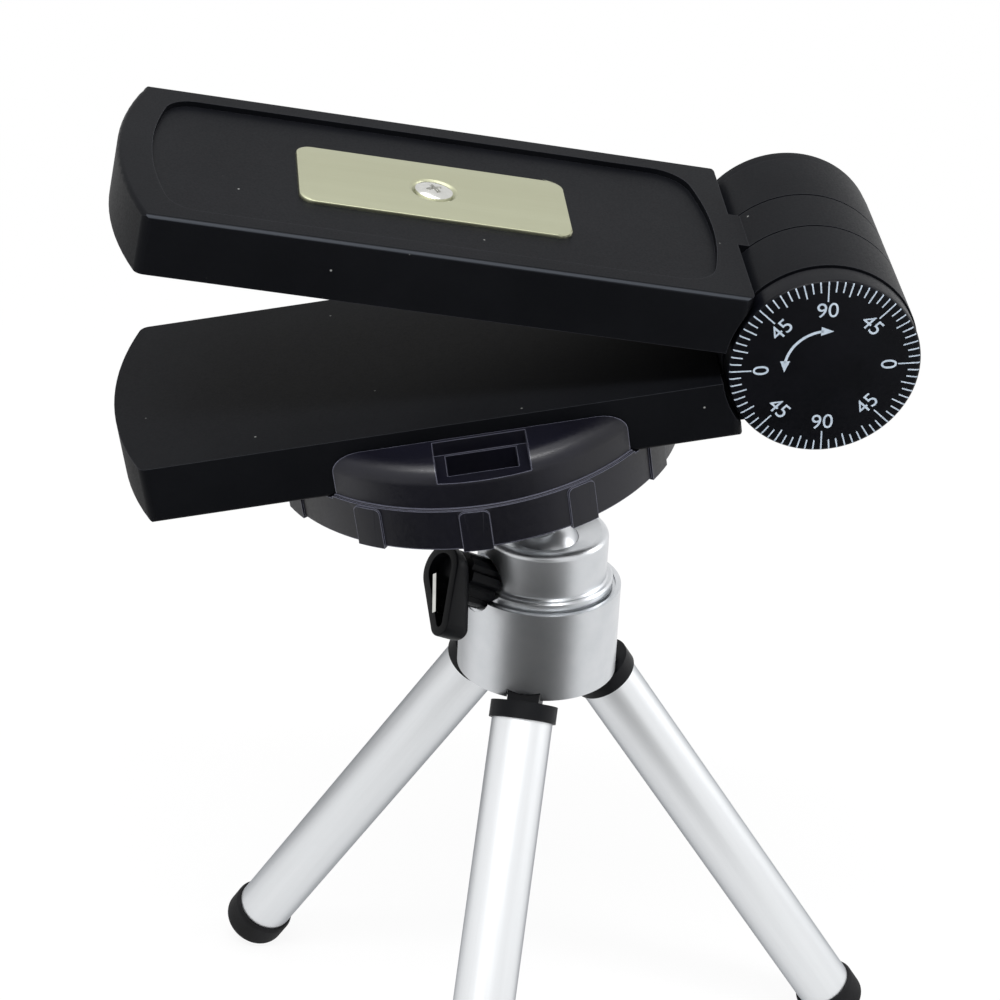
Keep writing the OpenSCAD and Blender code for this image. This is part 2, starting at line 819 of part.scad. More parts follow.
module grip_pads() {
    pad_root = 4;
    foot_d = 2;
    intersection() {
        difference() {
            translate([0, 0, -pad_foot]) cylinder(r = dock_r + pad_proud, h = dock_ring_h + pad_foot);
            translate([0, 0, -pad_foot - 1]) cylinder(r = dock_r - foot_d, h = pad_foot + 1);
        }
        for (i = [0:pad_count - 1])
            rotate(i * 360 / pad_count + 90 + pad_phase) translate([dock_r - pad_root, 0, -pad_foot])
                rotate([90, 0, 90]) linear_extrude(pad_root + 2 * pad_proud) pad_outline();
    }
}

// Turned form of the docking base: the grip ring and, above it, the wall of the cheeks
module dock_turning() {
    rotate_extrude() {
        square([dock_r - ring_edge, dock_ring_h]);
        translate([0, ring_edge]) square([dock_r, dock_ring_h - 2 * ring_edge]);
        square([cheek_r, cheek_h - cheek_edge_r]);
        square([cheek_r - cheek_edge_r, cheek_h]);
        translate([cheek_r - cheek_edge_r, cheek_h - cheek_edge_r]) intersection() {
            circle(cheek_edge_r);
            square(cheek_edge_r);
        }
    }
}

// Strap slot through a cheek, inside the wall of the ring, with the notch above it
module strap_slot() {
    intersection() {
        translate([-slot_l / 2, slot_start, -2]) cube([slot_l, slot_w, cheek_h + 4]);
        translate([0, 0, -3]) cylinder(r = cheek_r - slot_wall, h = cheek_h + 6);
    }
    translate([-slot_l / 2 - notch_side, slot_start - notch_lip, cheek_h - notch_d])
        cube([slot_l + 2 * notch_side, dock_r, notch_d + 1]);
}

module docking_base() {
    color("#1d1e26") in_dock() difference() {
        union() {
            dock_turning();
            grip_pads();
        }
        translate([-big / 2, -channel_half, dock_floor_h]) cube([big, 2 * channel_half, cheek_h]);
        for (turn = [0, 180])
            rotate(turn) strap_slot();
        translate([0, 0, dock_floor_h - keeper_t - seat]) linear_extrude(keeper_t + 1)
            round_rect(plate_l + 2 * seat, plate_w + 2 * seat, plate_r + seat);
        translate([socket_offset, 0, -1]) cylinder(r = insert_r + seat, h = insert_len + 1 + seat);
        dock_relief();
    }
}

// Moulded relief in the underside, with ribs between its pockets
module dock_relief() {
    relief_r = channel_half - relief_wall;
    inner_r = max(top_plate_r, insert_r) + socket_offset + relief_land;
    ribs = 6;
    rib_w = 2.4;
    difference() {
        translate([0, 0, -1]) tube(relief_r, inner_r, relief_d + 1);
        for (i = [0:ribs - 1])
            rotate(i * 360 / ribs) translate([0, -rib_w / 2, -relief_d]) cube([dock_r, rib_w, 3 * relief_d]);
    }
}

module keeper_plate() {
    color("#a9abad") in_dock() translate([0, 0, dock_floor_h - keeper_t])
        linear_extrude(keeper_t) round_rect(plate_l, plate_w, plate_r);
}

module thread_insert() {
    color("#b99a55") in_head() translate([0, 0, dock_z]) tube(insert_r, tripod_screw_r + run, insert_len);
}

// Ball head

module top_plate() {
    color("#b9bcbf") in_head() difference() {
        union() {
            translate([0, 0, post_z]) cylinder(r = collar_r - post_inset, h = plate_bottom_z - post_z + 1);
            translate([0, 0, plate_bottom_z])
                cylinder(r1 = top_plate_r - plate_bevel, r2 = top_plate_r, h = plate_bevel);
            translate([0, 0, plate_bottom_z + plate_bevel])
                cylinder(r = top_plate_r, h = top_plate_t - plate_bevel);
        }
        translate([0, 0, post_z - 1]) cylinder(r = tripod_screw_r + seat, h = stem_h);
    }
}

module top_plate_pad() {
    color("#202124") in_head() translate([0, 0, stem_h - pad_t + seat])
        tube(top_plate_r, tripod_screw_r + run, pad_t - 2 * seat);
}

// Tripod screw, whose lower end is the pin that the level turns on
module tripod_screw() {
    color("#c4c6c8") in_head() {
        translate([0, 0, post_z]) cylinder(r = tripod_screw_r, h = dock_z + insert_len - screw_roof - post_z);
        translate([0, 0, post_z - swivel_pin_len]) cylinder(r = swivel_pin_r, h = swivel_pin_len + 1);
    }
}

module neck() {
    color("#c9ccce") in_head() difference() {
        union() {
            cylinder(r = neck_r, h = collar_z + collar_t);
            translate([0, 0, collar_z]) cylinder(r = collar_r, h = collar_t);
            translate([0, 0, collar_z - collar_flare]) cylinder(r1 = neck_r, r2 = collar_r, h = collar_flare);
        }
        sphere(ball_r + seat);
        translate([0, 0, post_z - swivel_pin_len - swivel_pin_gap]) cylinder(r = swivel_pin_r + run, h = big);
    }
}

module ball() {
    color("#a5a8ab") in_head() sphere(ball_r);
}

// Way through the housing and the hub for the clamp screw, with a recess for the knob's collar
module knob_way() {
    at_knob() {
        cylinder(r = clamp_screw_r + run, h = knob_reach);
        translate([0, 0, recess_start]) cylinder(r = knob_collar_r + free, h = knob_reach);
    }
}

// Turned housing whose lip holds the ball
module ball_housing() {
    color("#bfc2c5") at_hub() difference() {
        union() {
            rotate_extrude() {
                square([housing_r, housing_h - housing_edge_r]);
                square([housing_r - housing_edge_r, housing_h]);
                translate([housing_r - housing_edge_r, housing_h - housing_edge_r]) intersection() {
                    circle(housing_edge_r);
                    square(housing_edge_r);
                }
            }
            cylinder(r = flange_r, h = flange_h);
            translate([0, 0, -spigot_depth]) cylinder(r = housing_spigot_r, h = spigot_depth + 1);
        }
        translate([0, 0, ball_above_rim]) sphere(socket_r);
        translate([0, 0, -spigot_depth - 1]) cylinder(r = socket_r, h = spigot_depth + 1 + ball_above_rim);
        translate([0, 0, -rim_z]) knob_way();
    }
}

module ball_seat() {
    color("#ececea") at_hub() difference() {
        translate([0, 0, -spigot_depth]) cylinder(r = socket_r - seat, h = seat_h);
        translate([0, 0, ball_above_rim]) sphere(socket_r);
    }
}

// Slot in the hub for one leg's tongue, with the stop that sets the spread
module tongue_slot(i) {
    gap = tongue_half + 0.35;
    stop_len = (gap * sin(splay) + hub_below_pivot + 1) / cos(splay);
    at_leg(i) rotate([90, 0, 0]) translate([0, 0, -tongue_t / 2 - slot_gap])
        linear_extrude(tongue_t + 2 * slot_gap) {
            circle(gap);
            polygon([
                [-gap, 0],
                [-gap, -hub_below_pivot - 1],
                [gap * cos(splay) + stop_len * sin(splay), -hub_below_pivot - 1],
                [gap * cos(splay), gap * sin(splay)],
                [0, 0]
            ]);
        }
}

module pin_hole(i, r, half_len) {
    at_leg(i) rotate([90, 0, 0]) cylinder(r = r, h = 2 * half_len, center = true);
}

module hub() {
    color("#c2c5c8") difference() {
        at_hub() difference() {
            union() {
                translate([0, 0, -hub_h]) cylinder(r = hub_r, h = hub_h - ledge_depth);
                translate([0, 0, -2]) tube(hub_r, hub_r - rim_w, 2);
                translate([0, 0, -2]) cylinder(r = flange_r, h = 2);
            }
            translate([0, 0, -spigot_depth - seat])
                cylinder(r = housing_spigot_r + seat, h = spigot_depth + 1);
        }
        knob_way();
        for (i = [1:3]) {
            tongue_slot(i);
            pin_hole(i, pin_r + seat, pin_half + seat);
        }
    }
}

module leg_pins() {
    color("#b5b8ba") for (i = [1:3])
        pin_hole(i, pin_r, pin_half);
}

// Plan of the lever, drawn in by inset: a round head and a smaller tip joined by tangents
module lever_plan(inset) {
    head = lever_head_r - inset;
    tail = lever_tail_r - inset;
    tail_x = lever_len - lever_tail_r;
    turn = acos((head - tail) / tail_x);
    circle(head);
    translate([tail_x, 0]) circle(tail);
    polygon([
        [head * cos(turn), head * sin(turn)], [tail_x + tail * cos(turn), tail * sin(turn)],
        [tail_x + tail * cos(turn), -tail * sin(turn)], [head * cos(turn), -head * sin(turn)]
    ]);
}

module lever_knob() {
    flutes = 10;
    flute_r = 0.5;
    color("#17181c") at_knob() difference() {
        union() {
            difference() {
                translate([0, 0, knob_start]) cylinder(r = knob_collar_r, h = lever_start + 1 - knob_start);
                for (i = [0:flutes - 1])
                    rotate((i + 0.5) * 360 / flutes) translate([knob_collar_r + 0.1, 0, knob_start - 1])
                        cylinder(r = flute_r, h = lever_start + 1 - knob_start);
            }
            translate([0, 0, lever_start]) linear_extrude(lever_t) lever_plan(0);
        }
        translate([0, 0, hollow_z]) linear_extrude(hollow_depth + 1) lever_plan(hollow_rim);
        cylinder(r = clamp_screw_r + seat, h = knob_reach);
    }
}

// Clamp screw, with a flat tang that lies in the lever's hollow and turns with it
module clamp_screw() {
    tang_l = lever_len - 4.6;
    tang_t = 0.8;
    color("#dcdedf") at_knob() {
        translate([0, 0, screw_tip]) cylinder(r = clamp_screw_r, h = hollow_z + 0.6 - screw_tip);
        translate([0.6, -0.3 - tang_t, hollow_z + seat]) cube([tang_l, tang_t, hollow_depth + 0.5]);
    }
}

// Legs: each leg is a plastic cap with a tongue, an aluminium tube and a rubber foot

module leg_cap(i) {
    color("#17181b") difference() {
        union() {
            at_leg(i) rotate([90, 0, 0]) cylinder(r = tongue_half, h = tongue_t, center = true);
            along_leg(i) {
                translate([-tongue_half, -tongue_t / 2, 0])
                    cube([2 * tongue_half, tongue_t, cap_start + 0.5]);
                translate([0, 0, cap_start]) cylinder(r = leg_cap_r, h = leg_cap_len);
            }
        }
        along_leg(i) translate([0, 0, tube_start - seat]) cylinder(r = tube_r + seat, h = leg_cap_len + 5);
        pin_hole(i, pin_r + run, tongue_t);
    }
}

module leg_tube(i) {
    color("#d5d8da") along_leg(i) translate([0, 0, tube_start])
        tube(tube_r, tube_r - tube_wall, tube_end - tube_start);
}

// Rubber foot with a rounded tip and a mouth that narrows onto the tube
module leg_foot(i) {
    color("#1c1c1e") along_leg(i) difference() {
        rotate_extrude() {
            translate([0, foot_start + foot_lip]) square([foot_r, foot_len - foot_lip - foot_edge_r]);
            translate([0, foot_start + foot_lip]) square([foot_r - foot_edge_r, foot_len - foot_lip]);
            translate([foot_r - foot_edge_r, leg_len - foot_edge_r]) intersection() {
                circle(foot_edge_r);
                square(foot_edge_r);
            }
            polygon([
                [0, foot_start], [foot_r - 0.3, foot_start],
                [foot_r, foot_start + foot_lip], [0, foot_start + foot_lip]
            ]);
        }
        translate([0, 0, foot_start - 1]) cylinder(r = tube_r + seat, h = tube_end + seat - foot_start + 1);
    }
}

lower_shell();
lower_cover();
lower_plate();
lower_plate_screw();
lower_magnet();
upper_shell();
upper_cover();
upper_plate();
upper_plate_screw();
upper_magnet();
battery_door();
button_cells();
cell_contact();
circuit_board();
switch_body();
switch_slider();
hinge_sleeve();
friction_washers();
end_cap();
laser_window();
dial();
laser_carrier();
laser_module();
line_lens();
docking_base();
keeper_plate();
thread_insert();
top_plate();
top_plate_pad();
tripod_screw();
neck();
ball();
ball_housing();
ball_seat();
hub();
leg_pins();
lever_knob();
clamp_screw();
leg_cap(1);  // leg_cap_1
leg_cap(2);  // leg_cap_2
leg_cap(3);  // leg_cap_3
leg_tube(1);  // leg_tube_1
leg_tube(2);  // leg_tube_2
leg_tube(3);  // leg_tube_3
leg_foot(1);  // leg_foot_1
leg_foot(2);  // leg_foot_2
leg_foot(3);  // leg_foot_3
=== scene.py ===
"""Looks of a folding cross line laser level with a protractor dial, on a docking base and a mini tripod."""

import json
import logging
import math
from dataclasses import dataclass, field
from enum import Enum
from typing import Callable, Optional

import bmesh
import bpy
from mathutils import Matrix, Vector


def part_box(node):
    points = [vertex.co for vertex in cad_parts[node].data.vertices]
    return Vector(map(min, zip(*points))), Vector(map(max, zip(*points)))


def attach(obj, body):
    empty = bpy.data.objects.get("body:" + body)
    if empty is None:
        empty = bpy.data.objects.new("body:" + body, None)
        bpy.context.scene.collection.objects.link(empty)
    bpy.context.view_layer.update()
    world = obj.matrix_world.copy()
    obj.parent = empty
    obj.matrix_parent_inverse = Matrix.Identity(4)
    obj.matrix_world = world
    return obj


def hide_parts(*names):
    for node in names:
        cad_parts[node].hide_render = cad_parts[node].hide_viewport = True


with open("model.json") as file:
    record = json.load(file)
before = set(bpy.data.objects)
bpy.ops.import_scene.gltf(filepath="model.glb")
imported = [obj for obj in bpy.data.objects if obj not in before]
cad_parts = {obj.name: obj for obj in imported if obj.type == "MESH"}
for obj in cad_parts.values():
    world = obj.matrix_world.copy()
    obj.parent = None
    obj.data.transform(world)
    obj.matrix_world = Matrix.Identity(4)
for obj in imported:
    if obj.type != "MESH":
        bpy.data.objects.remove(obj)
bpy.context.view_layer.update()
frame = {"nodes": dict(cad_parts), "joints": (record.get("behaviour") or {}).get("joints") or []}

MM = 0.001
UP = Vector((0, 0, 1))
JOINTS = {joint["name"]: joint for joint in frame["joints"]}
NODES = frame["nodes"]
log = logging.getLogger("level")


class Body(str, Enum):
    """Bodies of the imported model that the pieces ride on."""

    DIAL = "dial"
    LEVEL = "level"
    UPPER_LEAF = "upper_leaf"
    TRIPOD = "tripod"
    KNOB = "knob"


class Rounding(Enum):
    """Widths of the small round on a CAD node's edges, in millimetres."""

    NONE = 0.0
    FINE = 0.08
    MOULDED = 0.15
    PRESSED = 0.3


# Places in the frame


def place(origin: Vector, x_axis: Vector, y_axis: Vector, z_axis: Vector) -> Matrix:
    """Gives the matrix of a piece's own axes.

    Args:
        origin: Where the piece's origin lies, in metres.
        x_axis: Direction of its x axis.
        y_axis: Direction of its y axis.
        z_axis: Direction of its z axis.

    Returns:
        The matrix from the piece's axes to the frame.
    """
    turned = Matrix((x_axis, y_axis, z_axis)).transposed().to_4x4()
    return Matrix.Translation(origin) @ turned


ALONG = Vector(JOINTS["ball_pitch"]["axis"])
ACROSS = Vector(JOINTS["dial_turn"]["axis"])
UPWARD = Vector(JOINTS["level_pan"]["axis"])
HINGE = Vector(JOINTS["dial_turn"]["pos_m"])
LEAF_OPEN = -math.radians(JOINTS["leaf_hinge"]["range_deg"][0])
OPENED = Matrix.Rotation(LEAF_OPEN, 3, ACROSS)
LOWER_PLACE = place(HINGE, ALONG, -ACROSS, -UPWARD)
UPPER_PLACE = place(HINGE, OPENED @ ALONG, ACROSS, OPENED @ UPWARD)
HEAD_PLACE = place(Vector(JOINTS["level_pan"]["pos_m"]), ALONG, ACROSS, UPWARD)
TRIPOD_PLACE = Matrix.Identity(4)


def knob_place(turn: float) -> Matrix:
    """Gives the place of the lever knob, its z axis out along the clamp screw.

    Args:
        turn: Turn of the lever about the screw, in degrees.

    Returns:
        The matrix from the knob's axes to the frame.
    """
    axis = Vector(JOINTS["knob_turn"]["axis"])
    level = UP.cross(axis).normalized()
    lever = Matrix.Rotation(math.radians(turn), 3, axis) @ level.cross(axis)
    return place(Vector(JOINTS["knob_turn"]["pos_m"]), lever, axis.cross(lever), axis)


def leg_place(number: int) -> Matrix:
    """Gives the place of a leg, its z axis along its tube.

    Args:
        number: Number of the leg, from 1.

    Returns:
        The matrix from the leg's axes to the frame.
    """
    pivot = Vector(JOINTS[f"leg_{number}_fold"]["pos_m"])
    axis = Vector(JOINTS[f"leg_{number}_fold"]["axis"])
    low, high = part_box(f"leg_foot_{number}")
    down = ((low + high) / 2 - pivot).normalized()
    return place(pivot, axis.cross(down), axis, down)


# Finishes


# Steps of noise, and the part of its range that the drift of the colour and the grain of the roughness use
GRAIN_DETAIL = 3.0
GRAIN_RANGE = (0.3, 0.7)
DRIFT_DETAIL = 4.0
DRIFT_RANGE = (0.35, 0.65)
# Radius of a dust speck, from its rim to its full colour, as a share of its cell, and how well it covers
SPECK_RADIUS = (0.035, 0.02)
SPECK_COVER = 0.8
# Lean of the surface towards the upper face and towards the near side, where the painted highlight on the
# round between them starts and where it is full
NEAR_EDGE_HIGHLIGHT_LEAN = (0.3, 0.6)
# Agreement of the rounded and the plain normal, where a painted edge highlight starts and where it is full
EDGE_TURN = (0.995, 0.93)
EDGE_SAMPLES = 8


def linear(colour: str) -> tuple[float, float, float, float]:
    """Turns an sRGB hex colour to linear light.

    Args:
        colour: Colour such as "#20a0ff".

    Returns:
        Red, green, blue and an alpha of 1.
    """
    parts = [int(colour[i:i + 2], 16) / 255 for i in (1, 3, 5)]
    red, green, blue = [p / 12.92 if p <= 0.04045 else ((p + 0.055) / 1.055) ** 2.4 for p in parts]
    return (red, green, blue, 1.0)


def add_node(tree: bpy.types.NodeTree, kind: str, settings: Optional[dict] = None,
             links: Optional[dict] = None) -> bpy.types.Node:
    """Adds a node with its settings and links.

    Args:
        tree: Tree that takes the node.
        kind: Type of the node.
        settings: Values of its inputs, by name or number, and of its own properties.
        links: Output socket to link to each named or numbered input.

    Returns:
        The new node.
    """
    node = tree.nodes.new(kind)
    settings = settings or {}
    for key in [k for k in settings if isinstance(k, str) and k not in node.inputs]:
        setattr(node, key, settings[key])
    for key in [k for k in settings if not isinstance(k, str) or k in node.inputs]:
        node.inputs[key].default_value = settings[key]
    for key, source in (links or {}).items():
        tree.links.new(source, node.inputs[key])
    return node


def blank_material(name: str) -> bpy.types.Material:
    """Makes a material with an empty node tree.

    Args:
        name: Name of the material.

    Returns:
        The material.
    """
    made = bpy.data.materials.new(name)
    made.use_nodes = True
    made.node_tree.nodes.clear()
    return made


@dataclass(frozen=True)
class Finish:
    """A finish: its colour drifts slowly over the piece, and a fine grain roughens it.

    Sizes are in millimetres. Stretch draws the grain out along the piece's own axes.
    """

    name: str
    colour: str
    drift_colour: str
    roughness: float
    metallic: float = 0.0
    ior: float = 1.5
    specular: float = 0.5
    grain: float = 0.4
    grain_depth: float = 0.01
    drift: float = 9.0
    roughness_spread: float = 0.06
    stretch: tuple[float, float, float] = (1.0, 1.0, 1.0)
    transmission: float = 0.0
    speck_spacing: float = 0.0
    speck_colour: str = "#8c8e8c"
    # Tint of the reflections at grazing angles; a grey tint paints shade along a piece's sides
    grazing_shade_tint: str = "#ffffff"
    # Colour of the painted highlight on the round along the upper edge of the near long side, where the
    # lights above catch it
    near_edge_highlight_colour: str = ""
    # Colour and width of the painted pale highlights on sharp edges, which stand in for light caught by their
    # small rounds
    pale_edge_highlight_colour: str = ""
    edge_width: float = 0.2

    def _specks(self, tree: bpy.types.NodeTree, vector: bpy.types.NodeSocket,
                colour: bpy.types.NodeSocket) -> bpy.types.NodeSocket:
        """Lays small pale dust specks over a colour.

        Args:
            tree: Tree of the material.
            vector: Coordinates in metres.
            colour: Colour under the specks.

        Returns:
            The colour with its specks.
        """
        cells = add_node(tree, "ShaderNodeTexVoronoi", {"Scale": 1 / (self.speck_spacing * MM)},
                         {"Vector": vector})
        spot = add_node(tree, "ShaderNodeMapRange", {
            "From Min": SPECK_RADIUS[0], "From Max": SPECK_RADIUS[1], "To Max": SPECK_COVER,
        }, {"Value": cells.outputs["Distance"]})
        mix = add_node(tree, "ShaderNodeMix", {"data_type": "RGBA", 7: linear(self.speck_colour)},
                       {0: spot.outputs["Result"], 6: colour})
        return mix.outputs[2]

    def _paint_near_edge_highlight(self, tree: bpy.types.NodeTree, normal: bpy.types.NodeSocket, up: Vector,
              colour: bpy.types.NodeSocket) -> bpy.types.NodeSocket:
        """Paints a highlight on the rounds along the upper edge of the near long side: paler where they lean
        both up and towards the near side.

        Args:
            tree: Tree of the material.
            normal: Direction of the surface.
            up: Direction of the face above the edge.
            colour: Colour of the surface.

        Returns:
            The colour with its painted highlight on the near edge.
        """
        leans = []
        for direction in (up, -ACROSS):
            lean = add_node(tree, "ShaderNodeVectorMath", {"operation": "DOT_PRODUCT", 1: direction},
                            {0: normal})
            leans.append(add_node(tree, "ShaderNodeMapRange", {
                "interpolation_type": "SMOOTHSTEP", "From Min": NEAR_EDGE_HIGHLIGHT_LEAN[0], "From Max": NEAR_EDGE_HIGHLIGHT_LEAN[1],
            }, {"Value": lean.outputs["Value"]}))
        share = add_node(tree, "ShaderNodeMath", {"operation": "MULTIPLY"},
                         {0: leans[0].outputs["Result"], 1: leans[1].outputs["Result"]})
        mix = add_node(tree, "ShaderNodeMix", {"data_type": "RGBA", 7: linear(self.near_edge_highlight_colour)},
                       {0: share.outputs[0], 6: colour})
        return mix.outputs[2]

    def _paint_edge_highlights(self, tree: bpy.types.NodeTree, colour: bpy.types.NodeSocket) -> bpy.types.NodeSocket:
        """Paints pale highlights on the sharp edges: the places where the surface turns within a short way.

        Args:
            tree: Tree of the material.
            colour: Colour of the surface.

        Returns:
            The colour with its painted edge highlights.
        """
        rounded = add_node(tree, "ShaderNodeBevel", {"samples": EDGE_SAMPLES, "Radius": self.edge_width * MM})
        surface = add_node(tree, "ShaderNodeNewGeometry")
        turn = add_node(tree, "ShaderNodeVectorMath", {"operation": "DOT_PRODUCT"},
                        {0: rounded.outputs["Normal"], 1: surface.outputs["Normal"]})
        share = add_node(tree, "ShaderNodeMapRange", {
            "interpolation_type": "SMOOTHSTEP", "From Min": EDGE_TURN[0], "From Max": EDGE_TURN[1],
        }, {"Value": turn.outputs["Value"]})
        mix = add_node(tree, "ShaderNodeMix", {"data_type": "RGBA", 7: linear(self.pale_edge_highlight_colour)},
                       {0: share.outputs["Result"], 6: colour})
        return mix.outputs[2]

    def material(self, where: Matrix = TRIPOD_PLACE, suffix: str = "",
                 up: Optional[Vector] = None) -> bpy.types.Material:
        """Builds the material.

        Args:
            where: Place whose axes the grain follows.
            suffix: Ending of the material's name, for a finish used at several places.
            up: Direction of the face whose near edge gets a painted highlight, if it gets one.

        Returns:
            The material.
        """
        made = blank_material(self.name + suffix)
        tree = made.node_tree
        coords = add_node(tree, "ShaderNodeTexCoord")
        own = add_node(tree, "ShaderNodeMapping", {
            "vector_type": "TEXTURE", "Location": where.translation, "Rotation": where.to_euler(),
            "Scale": self.stretch,
        }, {"Vector": coords.outputs["Object"]})
        grain = add_node(tree, "ShaderNodeTexNoise", {"Scale": 1 / (self.grain * MM), "Detail": GRAIN_DETAIL},
                         {"Vector": own.outputs["Vector"]})
        drift = add_node(tree, "ShaderNodeTexNoise", {"Scale": 1 / (self.drift * MM), "Detail": DRIFT_DETAIL},
                         {"Vector": own.outputs["Vector"]})
        spread = add_node(tree, "ShaderNodeMapRange", {
            "From Min": DRIFT_RANGE[0], "From Max": DRIFT_RANGE[1],
        }, {"Value": drift.outputs["Fac"]})
        tone = add_node(tree, "ShaderNodeMix", {
            "data_type": "RGBA", 6: linear(self.colour), 7: linear(self.drift_colour),
        }, {0: spread.outputs["Result"]})
        colour = tone.outputs[2]
        if self.speck_spacing:
            colour = self._specks(tree, coords.outputs["Object"], colour)
        # Painted highlight on the round along the near upper edge, standing in for light from above caught
        # there
        if up is not None:
            colour = self._paint_near_edge_highlight(tree, coords.outputs["Normal"], up, colour)
        # Painted pale highlights on the sharp edges, standing in for light caught by their small rounds
        if self.pale_edge_highlight_colour:
            colour = self._paint_edge_highlights(tree, colour)
        polish = add_node(tree, "ShaderNodeMapRange", {
            "From Min": GRAIN_RANGE[0], "From Max": GRAIN_RANGE[1],
            "To Min": self.roughness - self.roughness_spread,
            "To Max": self.roughness + self.roughness_spread,
        }, {"Value": grain.outputs["Fac"]})
        bump = add_node(tree, "ShaderNodeBump", {"Strength": 1.0, "Distance": self.grain_depth * MM},
                        {"Height": grain.outputs["Fac"]})
        shader = add_node(tree, "ShaderNodeBsdfPrincipled", {
            "Metallic": self.metallic, "IOR": self.ior, "Specular IOR Level": self.specular,
            "Transmission Weight": self.transmission, "Specular Tint": linear(self.grazing_shade_tint),
        }, {"Base Color": colour, "Roughness": polish.outputs["Result"], "Normal": bump.outputs["Normal"]})
        add_node(tree, "ShaderNodeOutputMaterial", {}, {"Surface": shader.outputs["BSDF"]})
        return made


# The real grains of these surfaces, such as a mould's texture or rolling and drawing lines, are mostly
# 0.01 to 0.1 mm wide. That is too fine to show in the render, so they are drawn 0.12 to 0.8 mm wide.

# Injection moulded ABS from a spark-eroded mould: a soft, even black that only the lights above lift to grey;
# its upper near edge and its sharp edges carry painted highlights
LEAF_ABS = Finish("moulded_black_abs", "#0c0d10", "#0f1013", 0.42, specular=0.04, grain=0.35,
                  grain_depth=0.004, drift=14.0, speck_spacing=6.0, near_edge_highlight_colour="#36393e",
                  pale_edge_highlight_colour="#2a2b2f", edge_width=0.18)
# The same plastic from a polished mould: smoother, with a blue tint, broad soft highlights and painted pale
# highlights on its sharp edges
DOCK_ABS = Finish("moulded_blue_black_abs", "#0c0c14", "#0f0f19", 0.36, specular=0.36, grain=0.5,
                  grain_depth=0.0005, drift=11.0, pale_edge_highlight_colour="#585966", edge_width=0.22)
# Polished black styrene face under the print of the dial: nearly black, with a faint gloss
DIAL_STYRENE = Finish("polished_black_styrene", "#07080c", "#0a0b10", 0.36, specular=0.1, grain=0.6,
                      grain_depth=0.002, drift=7.0)
# Pad printed pale grey ink: matt, a little thin in places
PRINT_INK = Finish("pad_printed_pale_ink", "#b4c0cc", "#a2afbd", 0.6, specular=0.3, grain=0.12,
                   grain_depth=0.004, drift=1.4)
# Steel plated with champagne nickel: a warm pale metal with faint rolling lines along its length
CHAMPAGNE_NICKEL = Finish("champagne_nickel_plate", "#aeb096", "#a7a88e", 0.34, metallic=1.0, grain=0.16,
                          grain_depth=0.0006, drift=10.0, stretch=(30.0, 1.0, 1.0), roughness_spread=0.03)
# Bright nickel on cold headed screws: mirror-like, with a slight ripple
BRIGHT_NICKEL = Finish("bright_nickel_plate", "#d2d2ce", "#c4c4c0", 0.16, metallic=1.0, grain=0.5,
                       grain_depth=0.004, drift=2.0, roughness_spread=0.04)
# Cast aluminium, turned, blasted and anodised: a satin silver with a fine sparkle
BLASTED_ALUMINIUM = Finish("blasted_anodised_aluminium", "#d3d5d8", "#cccfd2", 0.33, metallic=1.0, grain=0.14,
                           grain_depth=0.002, drift=4.0, roughness_spread=0.05)
# Drawn aluminium tube, clear anodised: very bright, with faint drawing lines along the tube, and grey tinted
# grazing reflections that paint shade along its sides
DRAWN_ALUMINIUM = Finish("drawn_anodised_aluminium", "#eaecee", "#e2e4e6", 0.4, metallic=1.0, grain=0.2,
                         grain_depth=0.001, drift=3.0, stretch=(1.0, 1.0, 40.0), roughness_spread=0.03,
                         grazing_shade_tint="#70747a")
# Turned steel with fine tool marks round its axis
TURNED_STEEL = Finish("turned_steel", "#a6a8aa", "#989a9c", 0.28, metallic=1.0, grain=0.2, grain_depth=0.004,
                      drift=3.0, stretch=(6.0, 6.0, 1.0))
# Moulded black rubber: dead matt, a little dusty
FOOT_RUBBER = Finish("moulded_black_rubber", "#121213", "#18181a", 0.72, specular=0.15, grain=0.3,
                     grain_depth=0.02, drift=3.0)
# Moulded black nylon of the knob and the legs' caps: satin, with a soft gloss on its edges
SATIN_NYLON = Finish("moulded_black_nylon", "#0b0c0f", "#101114", 0.42, specular=0.12, grain=0.4,
                     grain_depth=0.006, drift=5.0)
# White acetal of the washers and the ball's seat: waxy
WAXY_ACETAL = Finish("machined_white_acetal", "#dcdcd6", "#d2d2cc", 0.4, grain=0.3, grain_depth=0.004,
                     drift=4.0)
# Turned brass of the insert and the laser's body
TURNED_BRASS = Finish("turned_brass", "#b79a5c", "#a98b4d", 0.3, metallic=1.0, grain=0.2, grain_depth=0.004,
                      drift=3.0)
# Sintered ferrite of the bar magnets: dull, dark and grainy
FERRITE = Finish("sintered_ferrite", "#3a3a3c", "#323234", 0.7, grain=0.4, grain_depth=0.02, drift=5.0)
# Glass fibre board under a green solder mask: a satin green, a little uneven
SOLDER_MASK = Finish("green_solder_mask", "#2c6a44", "#27603d", 0.35, grain=0.5, grain_depth=0.01, drift=3.0)
# Clear acrylic of the window and the lens
CLEAR_ACRYLIC = Finish("clear_acrylic", "#e8f2f4", "#e2eef1", 0.08, ior=1.49, grain=0.8,
                       grain_depth=0.001, drift=6.0, roughness_spread=0.02, transmission=1.0)


# Modelling


# Steps across a small round
ROUND_STEPS = 2
# Angle in degrees up to which a new piece is shaded smooth
SMOOTH_ANGLE = 25.0
# How near points are merged, and how near a point counts as lying in a plane, in millimetres
MERGE = 0.001
NEAR = 0.01


def start_fresh() -> None:
    """Deselects everything, so that an operator acts only on the piece at hand."""
    bpy.ops.object.select_all(action="DESELECT")


def active() -> bpy.types.Object:
    """Gives the active object."""
    return bpy.context.view_layer.objects.active


def select_only(piece: bpy.types.Object) -> None:
    """Selects one piece and makes it active.

    Args:
        piece: The piece.
    """
    start_fresh()
    piece.select_set(True)
    bpy.context.view_layer.objects.active = piece


